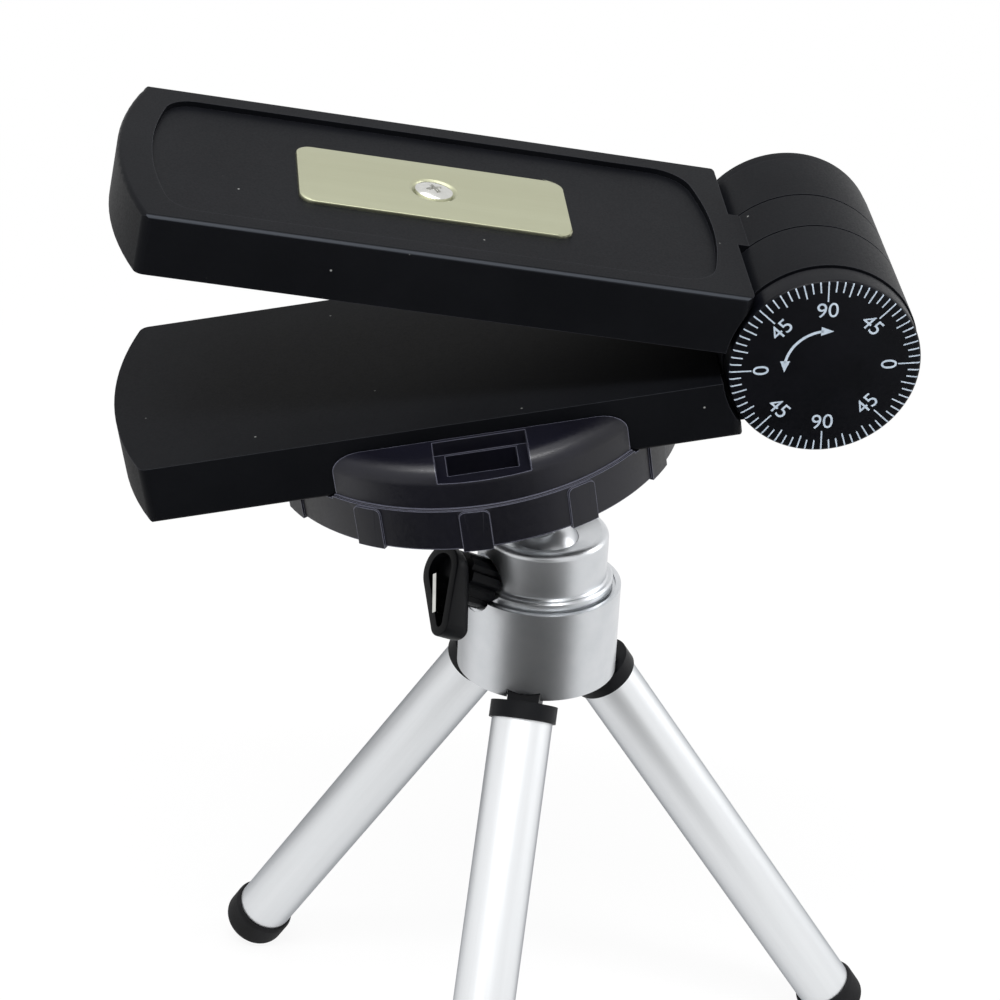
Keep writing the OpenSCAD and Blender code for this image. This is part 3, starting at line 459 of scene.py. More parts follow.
def pick(piece: bpy.types.Object, test: Callable[[Vector], bool]) -> None:
    """Selects the points of a piece in edit mode, with the edges and faces between them.

    Args:
        piece: Piece in edit mode.
        test: Says whether a point is picked.
    """
    bpy.ops.mesh.select_mode(type="VERT")
    mesh = bmesh.from_edit_mesh(piece.data)
    for face in mesh.faces:
        face.select = False
    for edge in mesh.edges:
        edge.select = False
    for vert in mesh.verts:
        vert.select = test(vert.co)
    mesh.select_flush(True)
    bmesh.update_edit_mesh(piece.data)


def finish_modifiers(piece: bpy.types.Object) -> None:
    """Applies all modifiers of a new piece.

    Args:
        piece: The piece.
    """
    select_only(piece)
    for modifier in list(piece.modifiers):
        bpy.ops.object.modifier_apply(modifier=modifier.name)


def settle(piece: bpy.types.Object, where: Matrix) -> None:
    """Moves a piece to its place and puts the place in its mesh.

    Args:
        piece: Piece modelled round its own origin.
        where: Matrix to its place.
    """
    select_only(piece)
    piece.matrix_world = where @ piece.matrix_world
    bpy.ops.object.transform_apply(location=True, rotation=True, scale=True)


def join(pieces: list[bpy.types.Object], name: str) -> bpy.types.Object:
    """Joins pieces to one.

    Args:
        pieces: Pieces to join.
        name: Name of the joined piece.

    Returns:
        The joined piece.
    """
    start_fresh()
    for piece in pieces:
        piece.select_set(True)
    bpy.context.view_layer.objects.active = pieces[0]
    if len(pieces) > 1:
        bpy.ops.object.join()
    pieces[0].name = name
    pieces[0].data.name = name
    return pieces[0]


def dress(piece: bpy.types.Object, material: bpy.types.Material) -> None:
    """Gives a piece one material all over."""
    piece.data.materials.clear()
    piece.data.materials.append(material)


def polar(radius: float, angle: float) -> Vector:
    """Gives a point of the xy plane.

    Args:
        radius: Its distance from the origin, in millimetres.
        angle: Its angle from the x axis, in radians.

    Returns:
        The point, in metres.
    """
    return Vector((radius * math.cos(angle) * MM, radius * math.sin(angle) * MM, 0))


def thicken(piece: bpy.types.Object, thickness: float) -> None:
    """Gives a flat print the thickness of its ink, half to each side.

    Args:
        piece: The flat print.
        thickness: Thickness of the ink, in millimetres.
    """
    solid = piece.modifiers.new("ink", "SOLIDIFY")
    solid.thickness = thickness * MM
    solid.offset = 0
    finish_modifiers(piece)


def complete(piece: bpy.types.Object, name: str, material: bpy.types.Material,
             smooth_angle: float = SMOOTH_ANGLE) -> None:
    """Shades a finished piece smooth, names it and dresses it.

    Args:
        piece: The piece, at its place.
        name: Its name.
        material: Its material.
        smooth_angle: Angle in degrees above which an edge stays sharp.
    """
    select_only(piece)
    bpy.ops.object.shade_smooth_by_angle(angle=math.radians(smooth_angle))
    piece.name = name
    dress(piece, material)
    log.info("built %s", name)


def spun(profile: list[tuple[float, float]], sides: int) -> bpy.types.Object:
    """Spins a closed profile round the z axis.

    Args:
        profile: Radius and height of its points, in millimetres.
        sides: Number of steps round the axis.

    Returns:
        The spun piece.
    """
    start_fresh()
    bpy.ops.mesh.primitive_plane_add(size=MM)
    piece = active()
    bpy.ops.object.mode_set(mode="EDIT")
    bpy.ops.mesh.merge(type="CENTER")
    first, *others = [Vector((radius * MM, 0, height * MM)) for radius, height in profile]
    bpy.ops.transform.translate(value=first)
    last = first
    for point in others + [first]:
        bpy.ops.mesh.extrude_vertices_move(TRANSFORM_OT_translate={"value": point - last})
        last = point
    bpy.ops.mesh.select_all(action="SELECT")
    bpy.ops.mesh.remove_doubles(threshold=MERGE * MM)
    bpy.ops.mesh.spin(steps=sides, angle=2 * math.pi, center=(0, 0, 0), axis=(0, 0, 1))
    bpy.ops.mesh.select_all(action="SELECT")
    bpy.ops.mesh.remove_doubles(threshold=MERGE * MM)
    bpy.ops.mesh.normals_make_consistent(inside=False)
    bpy.ops.object.mode_set(mode="OBJECT")
    return piece


def smooth_group(angle: float) -> bpy.types.NodeTree:
    """Builds a modifier that shades edges smooth up to an angle.

    Args:
        angle: Angle in degrees above which an edge stays sharp.

    Returns:
        The geometry node tree.
    """
    tree = bpy.data.node_groups.new("shade_smooth_by_angle", "GeometryNodeTree")
    tree.interface.new_socket("Geometry", in_out="INPUT", socket_type="NodeSocketGeometry")
    tree.interface.new_socket("Geometry", in_out="OUTPUT", socket_type="NodeSocketGeometry")
    source = add_node(tree, "NodeGroupInput")
    faces = add_node(tree, "GeometryNodeSetShadeSmooth", {"domain": "FACE", "Shade Smooth": True},
                     {"Geometry": source.outputs[0]})
    bend = add_node(tree, "GeometryNodeInputMeshEdgeAngle")
    gentle = add_node(tree, "FunctionNodeCompare", {"operation": "LESS_THAN", 1: math.radians(angle)},
                      {0: bend.outputs["Unsigned Angle"]})
    edges = add_node(tree, "GeometryNodeSetShadeSmooth", {"domain": "EDGE"},
                     {"Geometry": faces.outputs[0], "Shade Smooth": gentle.outputs[0]})
    add_node(tree, "NodeGroupOutput", {}, {0: edges.outputs[0]})
    return tree


@dataclass
class CadDresser:
    """Gives the CAD nodes their finishes, and a small round on their edges."""

    sharp_angle: float = 32.0
    weld: float = 0.002 * MM
    group: bpy.types.NodeTree = field(init=False)

    def __post_init__(self) -> None:
        """Makes the smoothing modifier that all the nodes share."""
        self.group = smooth_group(self.sharp_angle)

    def dress_node(self, name: str, material: bpy.types.Material, rounding: Rounding = Rounding.NONE) -> None:
        """Dresses one CAD node.

        Args:
            name: Name of the node.
            material: Its material.
            rounding: Round on its edges.
        """
        node = NODES[name]
        dress(node, material)
        weld = node.modifiers.new("weld", "WELD")
        weld.merge_threshold = self.weld
        if rounding.value:
            bevel = node.modifiers.new("edge_round", "BEVEL")
            bevel.width = rounding.value * MM
            bevel.segments = ROUND_STEPS
            bevel.limit_method = "ANGLE"
            bevel.angle_limit = math.radians(self.sharp_angle)
            bevel.use_clamp_overlap = rounding is not Rounding.PRESSED
        smooth = node.modifiers.new("smooth", "NODES")
        smooth.node_group = self.group
        flat = node.modifiers.new("true_flats", "WEIGHTED_NORMAL")
        flat.keep_sharp = True
        log.info("dressed %s", name)


# Pieces


class Tick(Enum):
    """Kinds of the dial's ticks: the radius at which each begins, in millimetres."""

    SHORT = 12.75
    MEDIUM = 12.2
    LONG = 11.17


@dataclass
class DialPrint:
    """Printed scale on the dial: ticks, numbers and a turn arrow. Sizes are in millimetres."""

    face_offset: float = 22.1
    radius: float = 14.7
    edge_radius: float = 0.6
    zero_angle: float = 173.6
    tick_count: int = 72
    long_every: int = 9
    medium_every: int = 3
    tick_width: float = 0.22
    tick_wrap: float = 40.0
    wrap_steps: int = 4
    ink: float = 0.03
    number_radius: float = 9.6
    number_height: float = 2.4
    digit_share: float = 0.69
    number_step: float = 45.0
    number_curve: int = 6
    upright_above: float = -0.2
    numbers: tuple[str, ...] = ("0", "45", "90", "45", "0", "45", "90", "45")
    arrow_radius: float = 6.2
    arrow_start: float = -4.7
    arrow_end: float = 100.0
    arrow_width: float = 0.42
    arrow_steps: int = 28
    head_length: float = 1.9
    head_width: float = 1.5
    head_overlap: float = 0.8

    def face_place(self) -> Matrix:
        """Gives the place of the dial's face, its z axis out of the face."""
        return place(HINGE - ACROSS * self.face_offset * MM, ALONG, UPWARD, -ACROSS)

    def _tick(self, kind: Tick) -> bpy.types.Object:
        """Models one tick along x: a flat strip that runs over the dial's rounded edge.

        Args:
            kind: Kind of the tick.

        Returns:
            The tick.
        """
        flat_end = self.radius - self.edge_radius
        length = flat_end - kind.value
        start_fresh()
        bpy.ops.mesh.primitive_plane_add(size=1, location=((kind.value + length / 2) * MM, 0, 0))
        tick = active()
        bpy.ops.object.mode_set(mode="EDIT")
        bpy.ops.transform.resize(value=(length * MM, self.tick_width * MM, 1))
        pick(tick, lambda co: co.x > 0)
        before = (0.0, 0.0)
        for step in range(1, self.wrap_steps + 1):
            angle = math.radians(self.tick_wrap * step / self.wrap_steps)
            point = (self.edge_radius * math.sin(angle), self.edge_radius * (math.cos(angle) - 1))
            move = ((point[0] - before[0]) * MM, 0, (point[1] - before[1]) * MM)
            bpy.ops.mesh.extrude_region_move(TRANSFORM_OT_translate={"value": move})
            before = point
        bpy.ops.object.mode_set(mode="OBJECT")
        bpy.ops.object.transform_apply(location=True, rotation=True, scale=True)
        thicken(tick, self.ink)
        return tick

    def _ticks(self) -> bpy.types.Object:
        """Copies the ticks round the dial and joins them.

        Returns:
            The ticks as one piece.
        """
        models = {kind: self._tick(kind) for kind in Tick}
        copies = []
        for number in range(self.tick_count):
            kind = Tick.SHORT
            if number % self.medium_every == 0:
                kind = Tick.MEDIUM
            if number % self.long_every == 0:
                kind = Tick.LONG
            select_only(models[kind])
            bpy.ops.object.duplicate(linked=False)
            copy = active()
            copy.rotation_euler.z = math.radians(self.zero_angle + number * 360 / self.tick_count)
            bpy.ops.object.transform_apply(location=False, rotation=True, scale=False)
            copies.append(copy)
        for model in models.values():
            bpy.data.objects.remove(model)
        return join(copies, "dial_ticks")

    def _number(self, text: str, index: int) -> bpy.types.Object:
        """Sets one number of the scale.

        Args:
            text: The number.
            index: Its place clockwise from the left zero, in steps.

        Returns:
            The number as a mesh.
        """
        angle = math.radians(self.zero_angle - index * self.number_step)
        upright = math.sin(angle) > self.upright_above
        start_fresh()
        bpy.ops.object.text_add()
        number = active()
        number.data.body = text
        number.data.align_x = "CENTER"
        number.data.align_y = "CENTER"
        number.data.size = self.number_height / self.digit_share * MM
        number.data.extrude = self.ink / 2 * MM
        number.data.resolution_u = self.number_curve
        bpy.ops.object.convert(target="MESH")
        number.location = polar(self.number_radius, angle)
        number.rotation_euler.z = angle + math.radians(-90 if upright else 90)
        bpy.ops.object.transform_apply(location=True, rotation=True, scale=True)
        return number

    def _arrow(self) -> bpy.types.Object:
        """Models the double-headed turn arrow: a strip spun round the dial's centre, and two heads.

        Returns:
            The arrow.
        """
        start = math.radians(self.zero_angle - self.arrow_start)
        sweep = math.radians(self.arrow_end - self.arrow_start)
        trim = self.head_length * self.head_overlap / self.arrow_radius
        start_fresh()
        bpy.ops.mesh.primitive_plane_add(size=self.arrow_width * MM, location=(self.arrow_radius * MM, 0, 0))
        shaft = active()
        bpy.ops.object.transform_apply(location=True)
        bpy.ops.object.mode_set(mode="EDIT")
        pick(shaft, lambda co: co.y > 0)
        bpy.ops.mesh.delete(type="VERT")
        bpy.ops.mesh.select_all(action="SELECT")
        bpy.ops.transform.translate(value=(0, self.arrow_width / 2 * MM, 0))
        bpy.ops.mesh.spin(steps=self.arrow_steps, angle=-(sweep - 2 * trim), center=(0, 0, 0), axis=(0, 0, 1))
        bpy.ops.object.mode_set(mode="OBJECT")
        self._turn_to(shaft, start - trim, start - sweep + trim)
        parts = [shaft]
        # A triangle of radius 1 is 1.5 high and the root of 3 wide
        head_size = (self.head_width * MM / math.sqrt(3), self.head_length * MM / 1.5, 1)
        for angle, side in ((start, 1), (start - sweep, -1)):
            start_fresh()
            bpy.ops.mesh.primitive_circle_add(vertices=3, radius=1, fill_type="NGON")
            head = active()
            bpy.ops.object.mode_set(mode="EDIT")
            bpy.ops.transform.translate(value=(0, -1, 0))
            bpy.ops.transform.resize(value=head_size, center_override=(0, 0, 0))
            bpy.ops.object.mode_set(mode="OBJECT")
            head.location = polar(self.arrow_radius, angle)
            head.rotation_euler.z = angle + (0 if side > 0 else math.pi) - side * trim / 2
            bpy.ops.object.transform_apply(location=True, rotation=True, scale=True)
            parts.append(head)
        arrow = join(parts, "dial_arrow")
        thicken(arrow, self.ink)
        return arrow

    @staticmethod
    def _turn_to(piece: bpy.types.Object, first: float, last: float) -> None:
        """Turns a spun strip so that it runs between two angles.

        Args:
            piece: Strip spun round the origin.
            first: Angle of one end.
            last: Angle of the other end.
        """
        angles = [math.atan2(v.co.y, v.co.x) for v in piece.data.vertices]
        middle = (min(angles) + max(angles)) / 2
        select_only(piece)
        piece.rotation_euler.z = (first + last) / 2 - middle
        bpy.ops.object.transform_apply(location=False, rotation=True, scale=False)

    def build(self) -> None:
        """Builds and dresses the print."""
        ink = PRINT_INK.material(self.face_place())
        digits = [self._number(text, index) for index, text in enumerate(self.numbers)]
        for piece in (self._ticks(), join(digits, "dial_numbers"), self._arrow()):
            settle(piece, self.face_place())
            dress(piece, ink)
            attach(piece, Body.DIAL.value)
            log.info("built %s", piece.name)


@dataclass
class DialBody:
    """Turning disc under the printed scale, with the spigot that drives the laser. Sizes in millimetres."""

    face: DialPrint
    thickness: float = 4.1
    edge_steps: int = 5
    spigot_radius: float = 5.0
    spigot_length: float = 3.15
    sides: int = 160

    def build(self) -> None:
        """Models the disc from a cylinder: its face's edge rounded, its spigot drawn out behind."""
        start_fresh()
        bpy.ops.mesh.primitive_cylinder_add(vertices=self.sides, radius=self.face.radius * MM,
                                            depth=self.thickness * MM,
                                            location=(0, 0, -self.thickness / 2 * MM))
        disc = active()
        bpy.ops.object.transform_apply(location=True)
        bpy.ops.object.mode_set(mode="EDIT")
        pick(disc, lambda co: co.z > -self.thickness / 2 * MM)
        bpy.ops.mesh.bevel(offset=self.face.edge_radius * MM, segments=self.edge_steps, affect="EDGES")
        pick(disc, lambda co: co.z < (NEAR - self.thickness) * MM)
        bpy.ops.mesh.inset(thickness=(self.face.radius - self.spigot_radius) * MM, depth=0)
        bpy.ops.mesh.extrude_region_move(TRANSFORM_OT_translate={"value": (0, 0, -self.spigot_length * MM)})
        bpy.ops.object.mode_set(mode="OBJECT")
        settle(disc, self.face.face_place())
        complete(disc, "dial_disc", DIAL_STYRENE.material(UPPER_PLACE))
        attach(disc, Body.DIAL.value)
        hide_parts("dial")


@dataclass
class PlateScrew:
    """Raised head screw with a cross recess, sunk in a magnet plate. Sizes are in millimetres."""

    name: str
    node: str
    body: Body
    leaf: Matrix
    along: float = -60.2
    plate_top: float = 9.4
    head_radius: float = 2.9
    sink: float = 0.57
    rise: float = 0.45
    dome_rings: int = 5
    dome_share: float = 0.94
    edge: float = 0.07
    recess_length: float = 3.6
    recess_width: float = 0.95
    recess_depth: float = 0.85
    recess_turn: float = 28.0
    recess_taper: float = 0.6
    shank_radius: float = 1.45
    shank_length: float = 6.2
    sides: int = 64

    def _head(self) -> bpy.types.Object:
        """Models the head: a short cylinder whose top is drawn up to a flat dome, with the shank below.

        Returns:
            The head with its shank.
        """
        start_fresh()
        bpy.ops.mesh.primitive_cylinder_add(vertices=self.sides, radius=self.head_radius * MM,
                                            depth=self.sink * MM, location=(0, 0, -self.sink / 2 * MM))
        head = active()
        bpy.ops.object.transform_apply(location=True)
        bpy.ops.object.mode_set(mode="EDIT")
        pick(head, lambda co: co.z > -self.sink * MM / 2)
        step = self.head_radius * self.dome_share / self.dome_rings
        for ring in range(self.dome_rings):
            outer = 1 - ring * step / self.head_radius
            inner = outer - step / self.head_radius
            lift = self.rise * (outer ** 2 - inner ** 2)
            bpy.ops.mesh.inset(thickness=step * MM, depth=0)
            bpy.ops.transform.translate(value=(0, 0, lift * MM))
        pick(head, lambda co: co.z < -self.sink * MM / 2)
        bpy.ops.mesh.inset(thickness=(self.head_radius - self.shank_radius) * MM, depth=0)
        bpy.ops.mesh.extrude_region_move(TRANSFORM_OT_translate={"value": (0, 0, -self.shank_length * MM)})
        bpy.ops.object.mode_set(mode="OBJECT")
        return head

    def _cutter(self) -> bpy.types.Object:
        """Models the cross that the recess is cut with, its arms tapered towards the point.

        Returns:
            The cross.
        """
        arms = []
        for turn in (0, 90):
            start_fresh()
            bpy.ops.mesh.primitive_cube_add(size=1, location=(0, 0, self.rise * MM))
            arm = active()
            bpy.ops.object.mode_set(mode="EDIT")
            bpy.ops.transform.resize(value=(self.recess_length * MM, self.recess_width * MM,
                                            2 * self.recess_depth * MM))
            pick(arm, lambda co: co.z < 0)
            bpy.ops.transform.resize(value=(self.recess_taper, self.recess_taper, 1))
            bpy.ops.object.mode_set(mode="OBJECT")
            arm.rotation_euler.z = math.radians(self.recess_turn + turn)
            bpy.ops.object.transform_apply(location=True, rotation=True, scale=True)
            arms.append(arm)
        union = arms[0].modifiers.new("cross", "BOOLEAN")
        union.operation = "UNION"
        union.object = arms[1]
        finish_modifiers(arms[0])
        bpy.data.objects.remove(arms[1])
        return arms[0]

    def build(self, material: bpy.types.Material) -> None:
        """Builds the screw at its place, in the stead of the plain CAD screw.

        Args:
            material: Material of the screw.
        """
        head = self._head()
        cutter = self._cutter()
        cut = head.modifiers.new("recess", "BOOLEAN")
        cut.object = cutter
        bevel = head.modifiers.new("edge", "BEVEL")
        bevel.width = self.edge * MM
        bevel.segments = ROUND_STEPS
        bevel.limit_method = "ANGLE"
        finish_modifiers(head)
        bpy.data.objects.remove(cutter)
        settle(head, self.leaf @ Matrix.Translation((self.along * MM, 0, self.plate_top * MM)))
        complete(head, self.name, material)
        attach(head, self.body.value)
        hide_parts(self.node)


@dataclass
class BallHousing:
    """Turned housing of the ball, its top dished to the lip, with a tall flange. Sizes in millimetres."""

    radius: float = 10.6
    rim_height: float = 9.6
    lip_height: float = 8.1
    shoulder: float = 1.2
    flange_radius: float = 11.7
    flange_height: float = 1.5
    edge: float = 0.3
    spigot_radius: float = 9.2
    spigot_depth: float = 4.5
    ball_height: float = 3.9
    socket_radius: float = 7.06
    recess_radius: float = 4.7
    recess_start: float = 12.0
    screw_hole_radius: float = 2.15
    screw_hole_start: float = 4.0
    hole_length: float = 10.0
    hole_sides: int = 64
    round_steps: int = 14
    sides: int = 128

    def _profile(self) -> list[tuple[float, float]]:
        """Draws half of the housing's section, from the foot of its spigot up and back down inside.

        Returns:
            Radius and height of its points.
        """
        shares = [step / self.round_steps for step in range(self.round_steps + 1)]
        corner = (self.radius - self.shoulder, self.rim_height - self.shoulder)
        lip = math.asin((self.lip_height - self.ball_height) / self.socket_radius)
        points = [
            (self.spigot_radius, -self.spigot_depth),
            (self.spigot_radius, 0.0),
            (self.flange_radius, 0.0),
            (self.flange_radius, self.flange_height - self.edge),
            (self.flange_radius - self.edge, self.flange_height),
            (self.radius + self.edge, self.flange_height),
            (self.radius, self.flange_height + self.edge),
        ]
        for share in shares:
            angle = share * math.pi / 2
            points.append((corner[0] + self.shoulder * math.cos(angle),
                           corner[1] + self.shoulder * math.sin(angle)))
        for share in shares:
            angle = lip * (1 - share)
            points.append((self.socket_radius * math.cos(angle),
                           self.ball_height + self.socket_radius * math.sin(angle)))
        return points + [(self.socket_radius, -self.spigot_depth)]

    def _bore(self, housing: bpy.types.Object, radius: float, start: float) -> None:
        """Bores a hole along the knob's axis.

        Args:
            housing: The housing, at its place.
            radius: Radius of the hole.
            start: Distance of its inner end from the hub's axis.
        """
        start_fresh()
        bpy.ops.mesh.primitive_cylinder_add(vertices=self.hole_sides, radius=radius * MM,
                                            depth=self.hole_length * MM,
                                            location=(0, 0, (start + self.hole_length / 2) * MM))
        cutter = active()
        settle(cutter, knob_place(0))
        cut = housing.modifiers.new("bore", "BOOLEAN")
        cut.object = cutter
        finish_modifiers(housing)
        bpy.data.objects.remove(cutter)

    def build(self, material: bpy.types.Material) -> None:
        """Builds the housing in the stead of the CAD housing, with holes for the knob's collar and screw.

        Args:
            material: Material of the housing.
        """
        foot = Vector(JOINTS["ball_roll"]["pos_m"]) - Vector((0, 0, self.ball_height * MM))
        housing = spun(self._profile(), self.sides)
        settle(housing, Matrix.Translation(foot))
        self._bore(housing, self.recess_radius, self.recess_start)
        self._bore(housing, self.screw_hole_radius, self.screw_hole_start)
        complete(housing, "round_housing", material)
        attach(housing, Body.TRIPOD.value)
        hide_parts("ball_housing")


@dataclass
class LeverKnob:
    """Moulded lever on a fluted collar, hollow in front and round behind. Sizes are in millimetres."""

    turn: float = 42.0
    reach: float = 21.6
    length: float = 11.2
    head_radius: float = 4.3
    tail_radius: float = 2.2
    thickness: float = 3.6
    back_slant: float = 11.0
    back_round: float = 2.2
    back_steps: int = 6
    rim_width: float = 1.5
    rim_round: float = 0.25
    rim_steps: int = 3
    hollow_depth: float = 2.0
    collar_radius: float = 4.2
    collar_start: float = 12.3
    flutes: int = 10
    flute_share: float = 0.86
    flute_points: int = 4
    sides: int = 72
    smooth_angle: float = 30.0

    def _lever(self) -> bpy.types.Object:
        """Models the lever: a disc drawn out to a thicker tip, with a hollow in its face.

        Returns:
            The lever.
        """
        span = self.length - self.tail_radius
        tangent = (self.head_radius - self.tail_radius) / span * self.head_radius
        share = self.tail_radius / self.head_radius
        start_fresh()
        bpy.ops.mesh.primitive_circle_add(vertices=self.sides, radius=self.head_radius * MM, fill_type="NGON")
        lever = active()
        bpy.ops.object.mode_set(mode="EDIT")
        pick(lever, lambda co: co.x > tangent * MM)
        bpy.ops.transform.resize(value=(share, share, 1), center_override=(0, 0, 0))
        bpy.ops.transform.translate(value=(span * MM, 0, 0))
        bpy.ops.mesh.select_all(action="SELECT")
        bpy.ops.mesh.extrude_region_move(TRANSFORM_OT_translate={"value": (0, 0, -self.thickness * MM)})
        bpy.ops.transform.rotate(value=-math.radians(self.back_slant), orient_axis="Y",
                                 center_override=(0, 0, -self.thickness * MM))
        bpy.ops.mesh.bevel(offset=self.back_round * MM, segments=self.back_steps, affect="EDGES")
        pick(lever, lambda co: co.z > -NEAR * MM)
        bpy.ops.mesh.bevel(offset=self.rim_round * MM, segments=self.rim_steps, affect="EDGES")
        pick(lever, lambda co: co.z > -NEAR * MM)
        bpy.ops.mesh.inset(thickness=(self.rim_width - self.rim_round) * MM, depth=0)
        bpy.ops.mesh.extrude_region_move(TRANSFORM_OT_translate={"value": (0, 0, -self.hollow_depth * MM)})
        bpy.ops.mesh.select_all(action="SELECT")
        bpy.ops.mesh.normals_make_consistent(inside=False)
        bpy.ops.object.mode_set(mode="OBJECT")
        return lever

    def _collar(self) -> bpy.types.Object:
        """Models the collar behind the lever: a cylinder with flutes drawn in along it.

        Returns:
            The collar.
        """
        length = self.reach - self.thickness - self.collar_start
        corners = self.flutes * self.flute_points
        start_fresh()
        bpy.ops.mesh.primitive_cylinder_add(vertices=corners, radius=self.collar_radius * MM,
                                            depth=length * MM,
                                            location=(0, 0, (-self.thickness - length / 2) * MM))
        collar = active()
        bpy.ops.object.transform_apply(location=True)
        bpy.ops.object.mode_set(mode="EDIT")
        step = 2 * math.pi / corners
        deep = self.flute_points // 2
        pick(collar, lambda co: round(math.atan2(co.y, co.x) / step) % self.flute_points == deep)
        bpy.ops.transform.resize(value=(self.flute_share, self.flute_share, 1), center_override=(0, 0, 0))
        bpy.ops.object.mode_set(mode="OBJECT")
        return collar

    def build(self, material: bpy.types.Material) -> None:
        """Builds the knob in the stead of the CAD knob.

        Args:
            material: Material of the knob.
        """
        knob = join([self._lever(), self._collar()], "round_lever_knob")
        settle(knob, knob_place(self.turn) @ Matrix.Translation((0, 0, self.reach * MM)))
        complete(knob, knob.name, material, self.smooth_angle)
        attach(knob, Body.KNOB.value)
        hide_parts("lever_knob")


@dataclass
class Level:
    """The two leaves, their covers, plates and screws, and the barrel."""

    dresser: CadDresser

    def _leaf(self, side: str, where: Matrix, up: Vector) -> None:
        """Dresses one leaf.

        Args:
            side: "lower" or "upper".
            where: Place of the leaf.
            up: Direction of its upper face.
        """
        # The near edge of the leaf's upper face gets a painted highlight
        plastic = LEAF_ABS.material(where, "_" + side, up)
        nickel = CHAMPAGNE_NICKEL.material(where, "_" + side)
        self.dresser.dress_node(f"{side}_shell", plastic, Rounding.MOULDED)
        self.dresser.dress_node(f"{side}_cover", plastic, Rounding.FINE)
        self.dresser.dress_node(f"{side}_plate", nickel, Rounding.PRESSED)
        self.dresser.dress_node(f"{side}_magnet", FERRITE.material(where, "_" + side))

    def build(self) -> None:
        """Dresses the level and builds its screws and its print."""
        scale = DialPrint()
        scale.build()
        DialBody(scale).build()
        bright = BRIGHT_NICKEL.material()
        PlateScrew("upper_screw", "upper_plate_screw", Body.UPPER_LEAF, UPPER_PLACE).build(bright)
        PlateScrew("lower_screw", "lower_plate_screw", Body.LEVEL, LOWER_PLACE).build(bright)
        self._leaf("lower", LOWER_PLACE, UPWARD)
        self._leaf("upper", UPPER_PLACE, OPENED @ UPWARD)
        plastic = LEAF_ABS.material(UPPER_PLACE, "_barrel")
        self.dresser.dress_node("battery_door", plastic, Rounding.FINE)
        self.dresser.dress_node("end_cap", plastic, Rounding.MOULDED)
        steel = TURNED_STEEL.material(UPPER_PLACE, "_level")
        self.dresser.dress_node("button_cells", steel, Rounding.FINE)
        self.dresser.dress_node("switch_body", steel)
        self.dresser.dress_node("hinge_sleeve", steel)
        brass = TURNED_BRASS.material(UPPER_PLACE, "_level")
        self.dresser.dress_node("cell_contact", brass)
        self.dresser.dress_node("laser_module", brass)
        self.dresser.dress_node("circuit_board", SOLDER_MASK.material(UPPER_PLACE))
        nylon = SATIN_NYLON.material(UPPER_PLACE, "_level")
        self.dresser.dress_node("switch_slider", nylon, Rounding.FINE)
        self.dresser.dress_node("laser_carrier", nylon)
        self.dresser.dress_node("friction_washers", WAXY_ACETAL.material(UPPER_PLACE, "_level"))
        clear = CLEAR_ACRYLIC.material(UPPER_PLACE)
        self.dresser.dress_node("laser_window", clear)
        self.dresser.dress_node("line_lens", clear)


@dataclass
class DockAndHead:
    """The docking base and the ball head under it."""

    dresser: CadDresser

    def build(self) -> None:
        """Dresses the docking base and the ball head."""
        steel = TURNED_STEEL.material(HEAD_PLACE, "_head")
        silver = BLASTED_ALUMINIUM.material(HEAD_PLACE, "_head")
        self.dresser.dress_node("docking_base", DOCK_ABS.material(HEAD_PLACE), Rounding.MOULDED)
        self.dresser.dress_node("keeper_plate", steel, Rounding.FINE)
        self.dresser.dress_node("thread_insert", TURNED_BRASS.material(HEAD_PLACE, "_head"))
        self.dresser.dress_node("top_plate", silver, Rounding.MOULDED)
        self.dresser.dress_node("top_plate_pad", FOOT_RUBBER.material(HEAD_PLACE, "_head"), Rounding.FINE)
        self.dresser.dress_node("tripod_screw", steel)
        self.dresser.dress_node("neck", silver, Rounding.MOULDED)
        self.dresser.dress_node("ball", silver)


@dataclass
class Tripod:
    """The hub with its housing and lever knob, and the three legs."""

    dresser: CadDresser
    legs: tuple[int, ...] = (1, 2, 3)

    def build(self) -> None:
        """Dresses the tripod."""
        silver = BLASTED_ALUMINIUM.material(TRIPOD_PLACE, "_hub")
        nylon = SATIN_NYLON.material(TRIPOD_PLACE, "_tripod")
        BallHousing().build(silver)
        LeverKnob().build(nylon)
        self.dresser.dress_node("hub", silver, Rounding.MOULDED)
        self.dresser.dress_node("ball_seat", WAXY_ACETAL.material(TRIPOD_PLACE, "_hub"))
        self.dresser.dress_node("leg_pins", TURNED_STEEL.material(TRIPOD_PLACE, "_hub"), Rounding.FINE)
        self.dresser.dress_node("clamp_screw", BRIGHT_NICKEL.material(TRIPOD_PLACE, "_hub"), Rounding.FINE)
        rubber = FOOT_RUBBER.material(TRIPOD_PLACE, "_feet")
        for number in self.legs:
            tube = DRAWN_ALUMINIUM.material(leg_place(number), f"_{number}")
            self.dresser.dress_node(f"leg_cap_{number}", nylon, Rounding.MOULDED)
            self.dresser.dress_node(f"leg_tube_{number}", tube)
            self.dresser.dress_node(f"leg_foot_{number}", rubber, Rounding.MOULDED)


# Stage


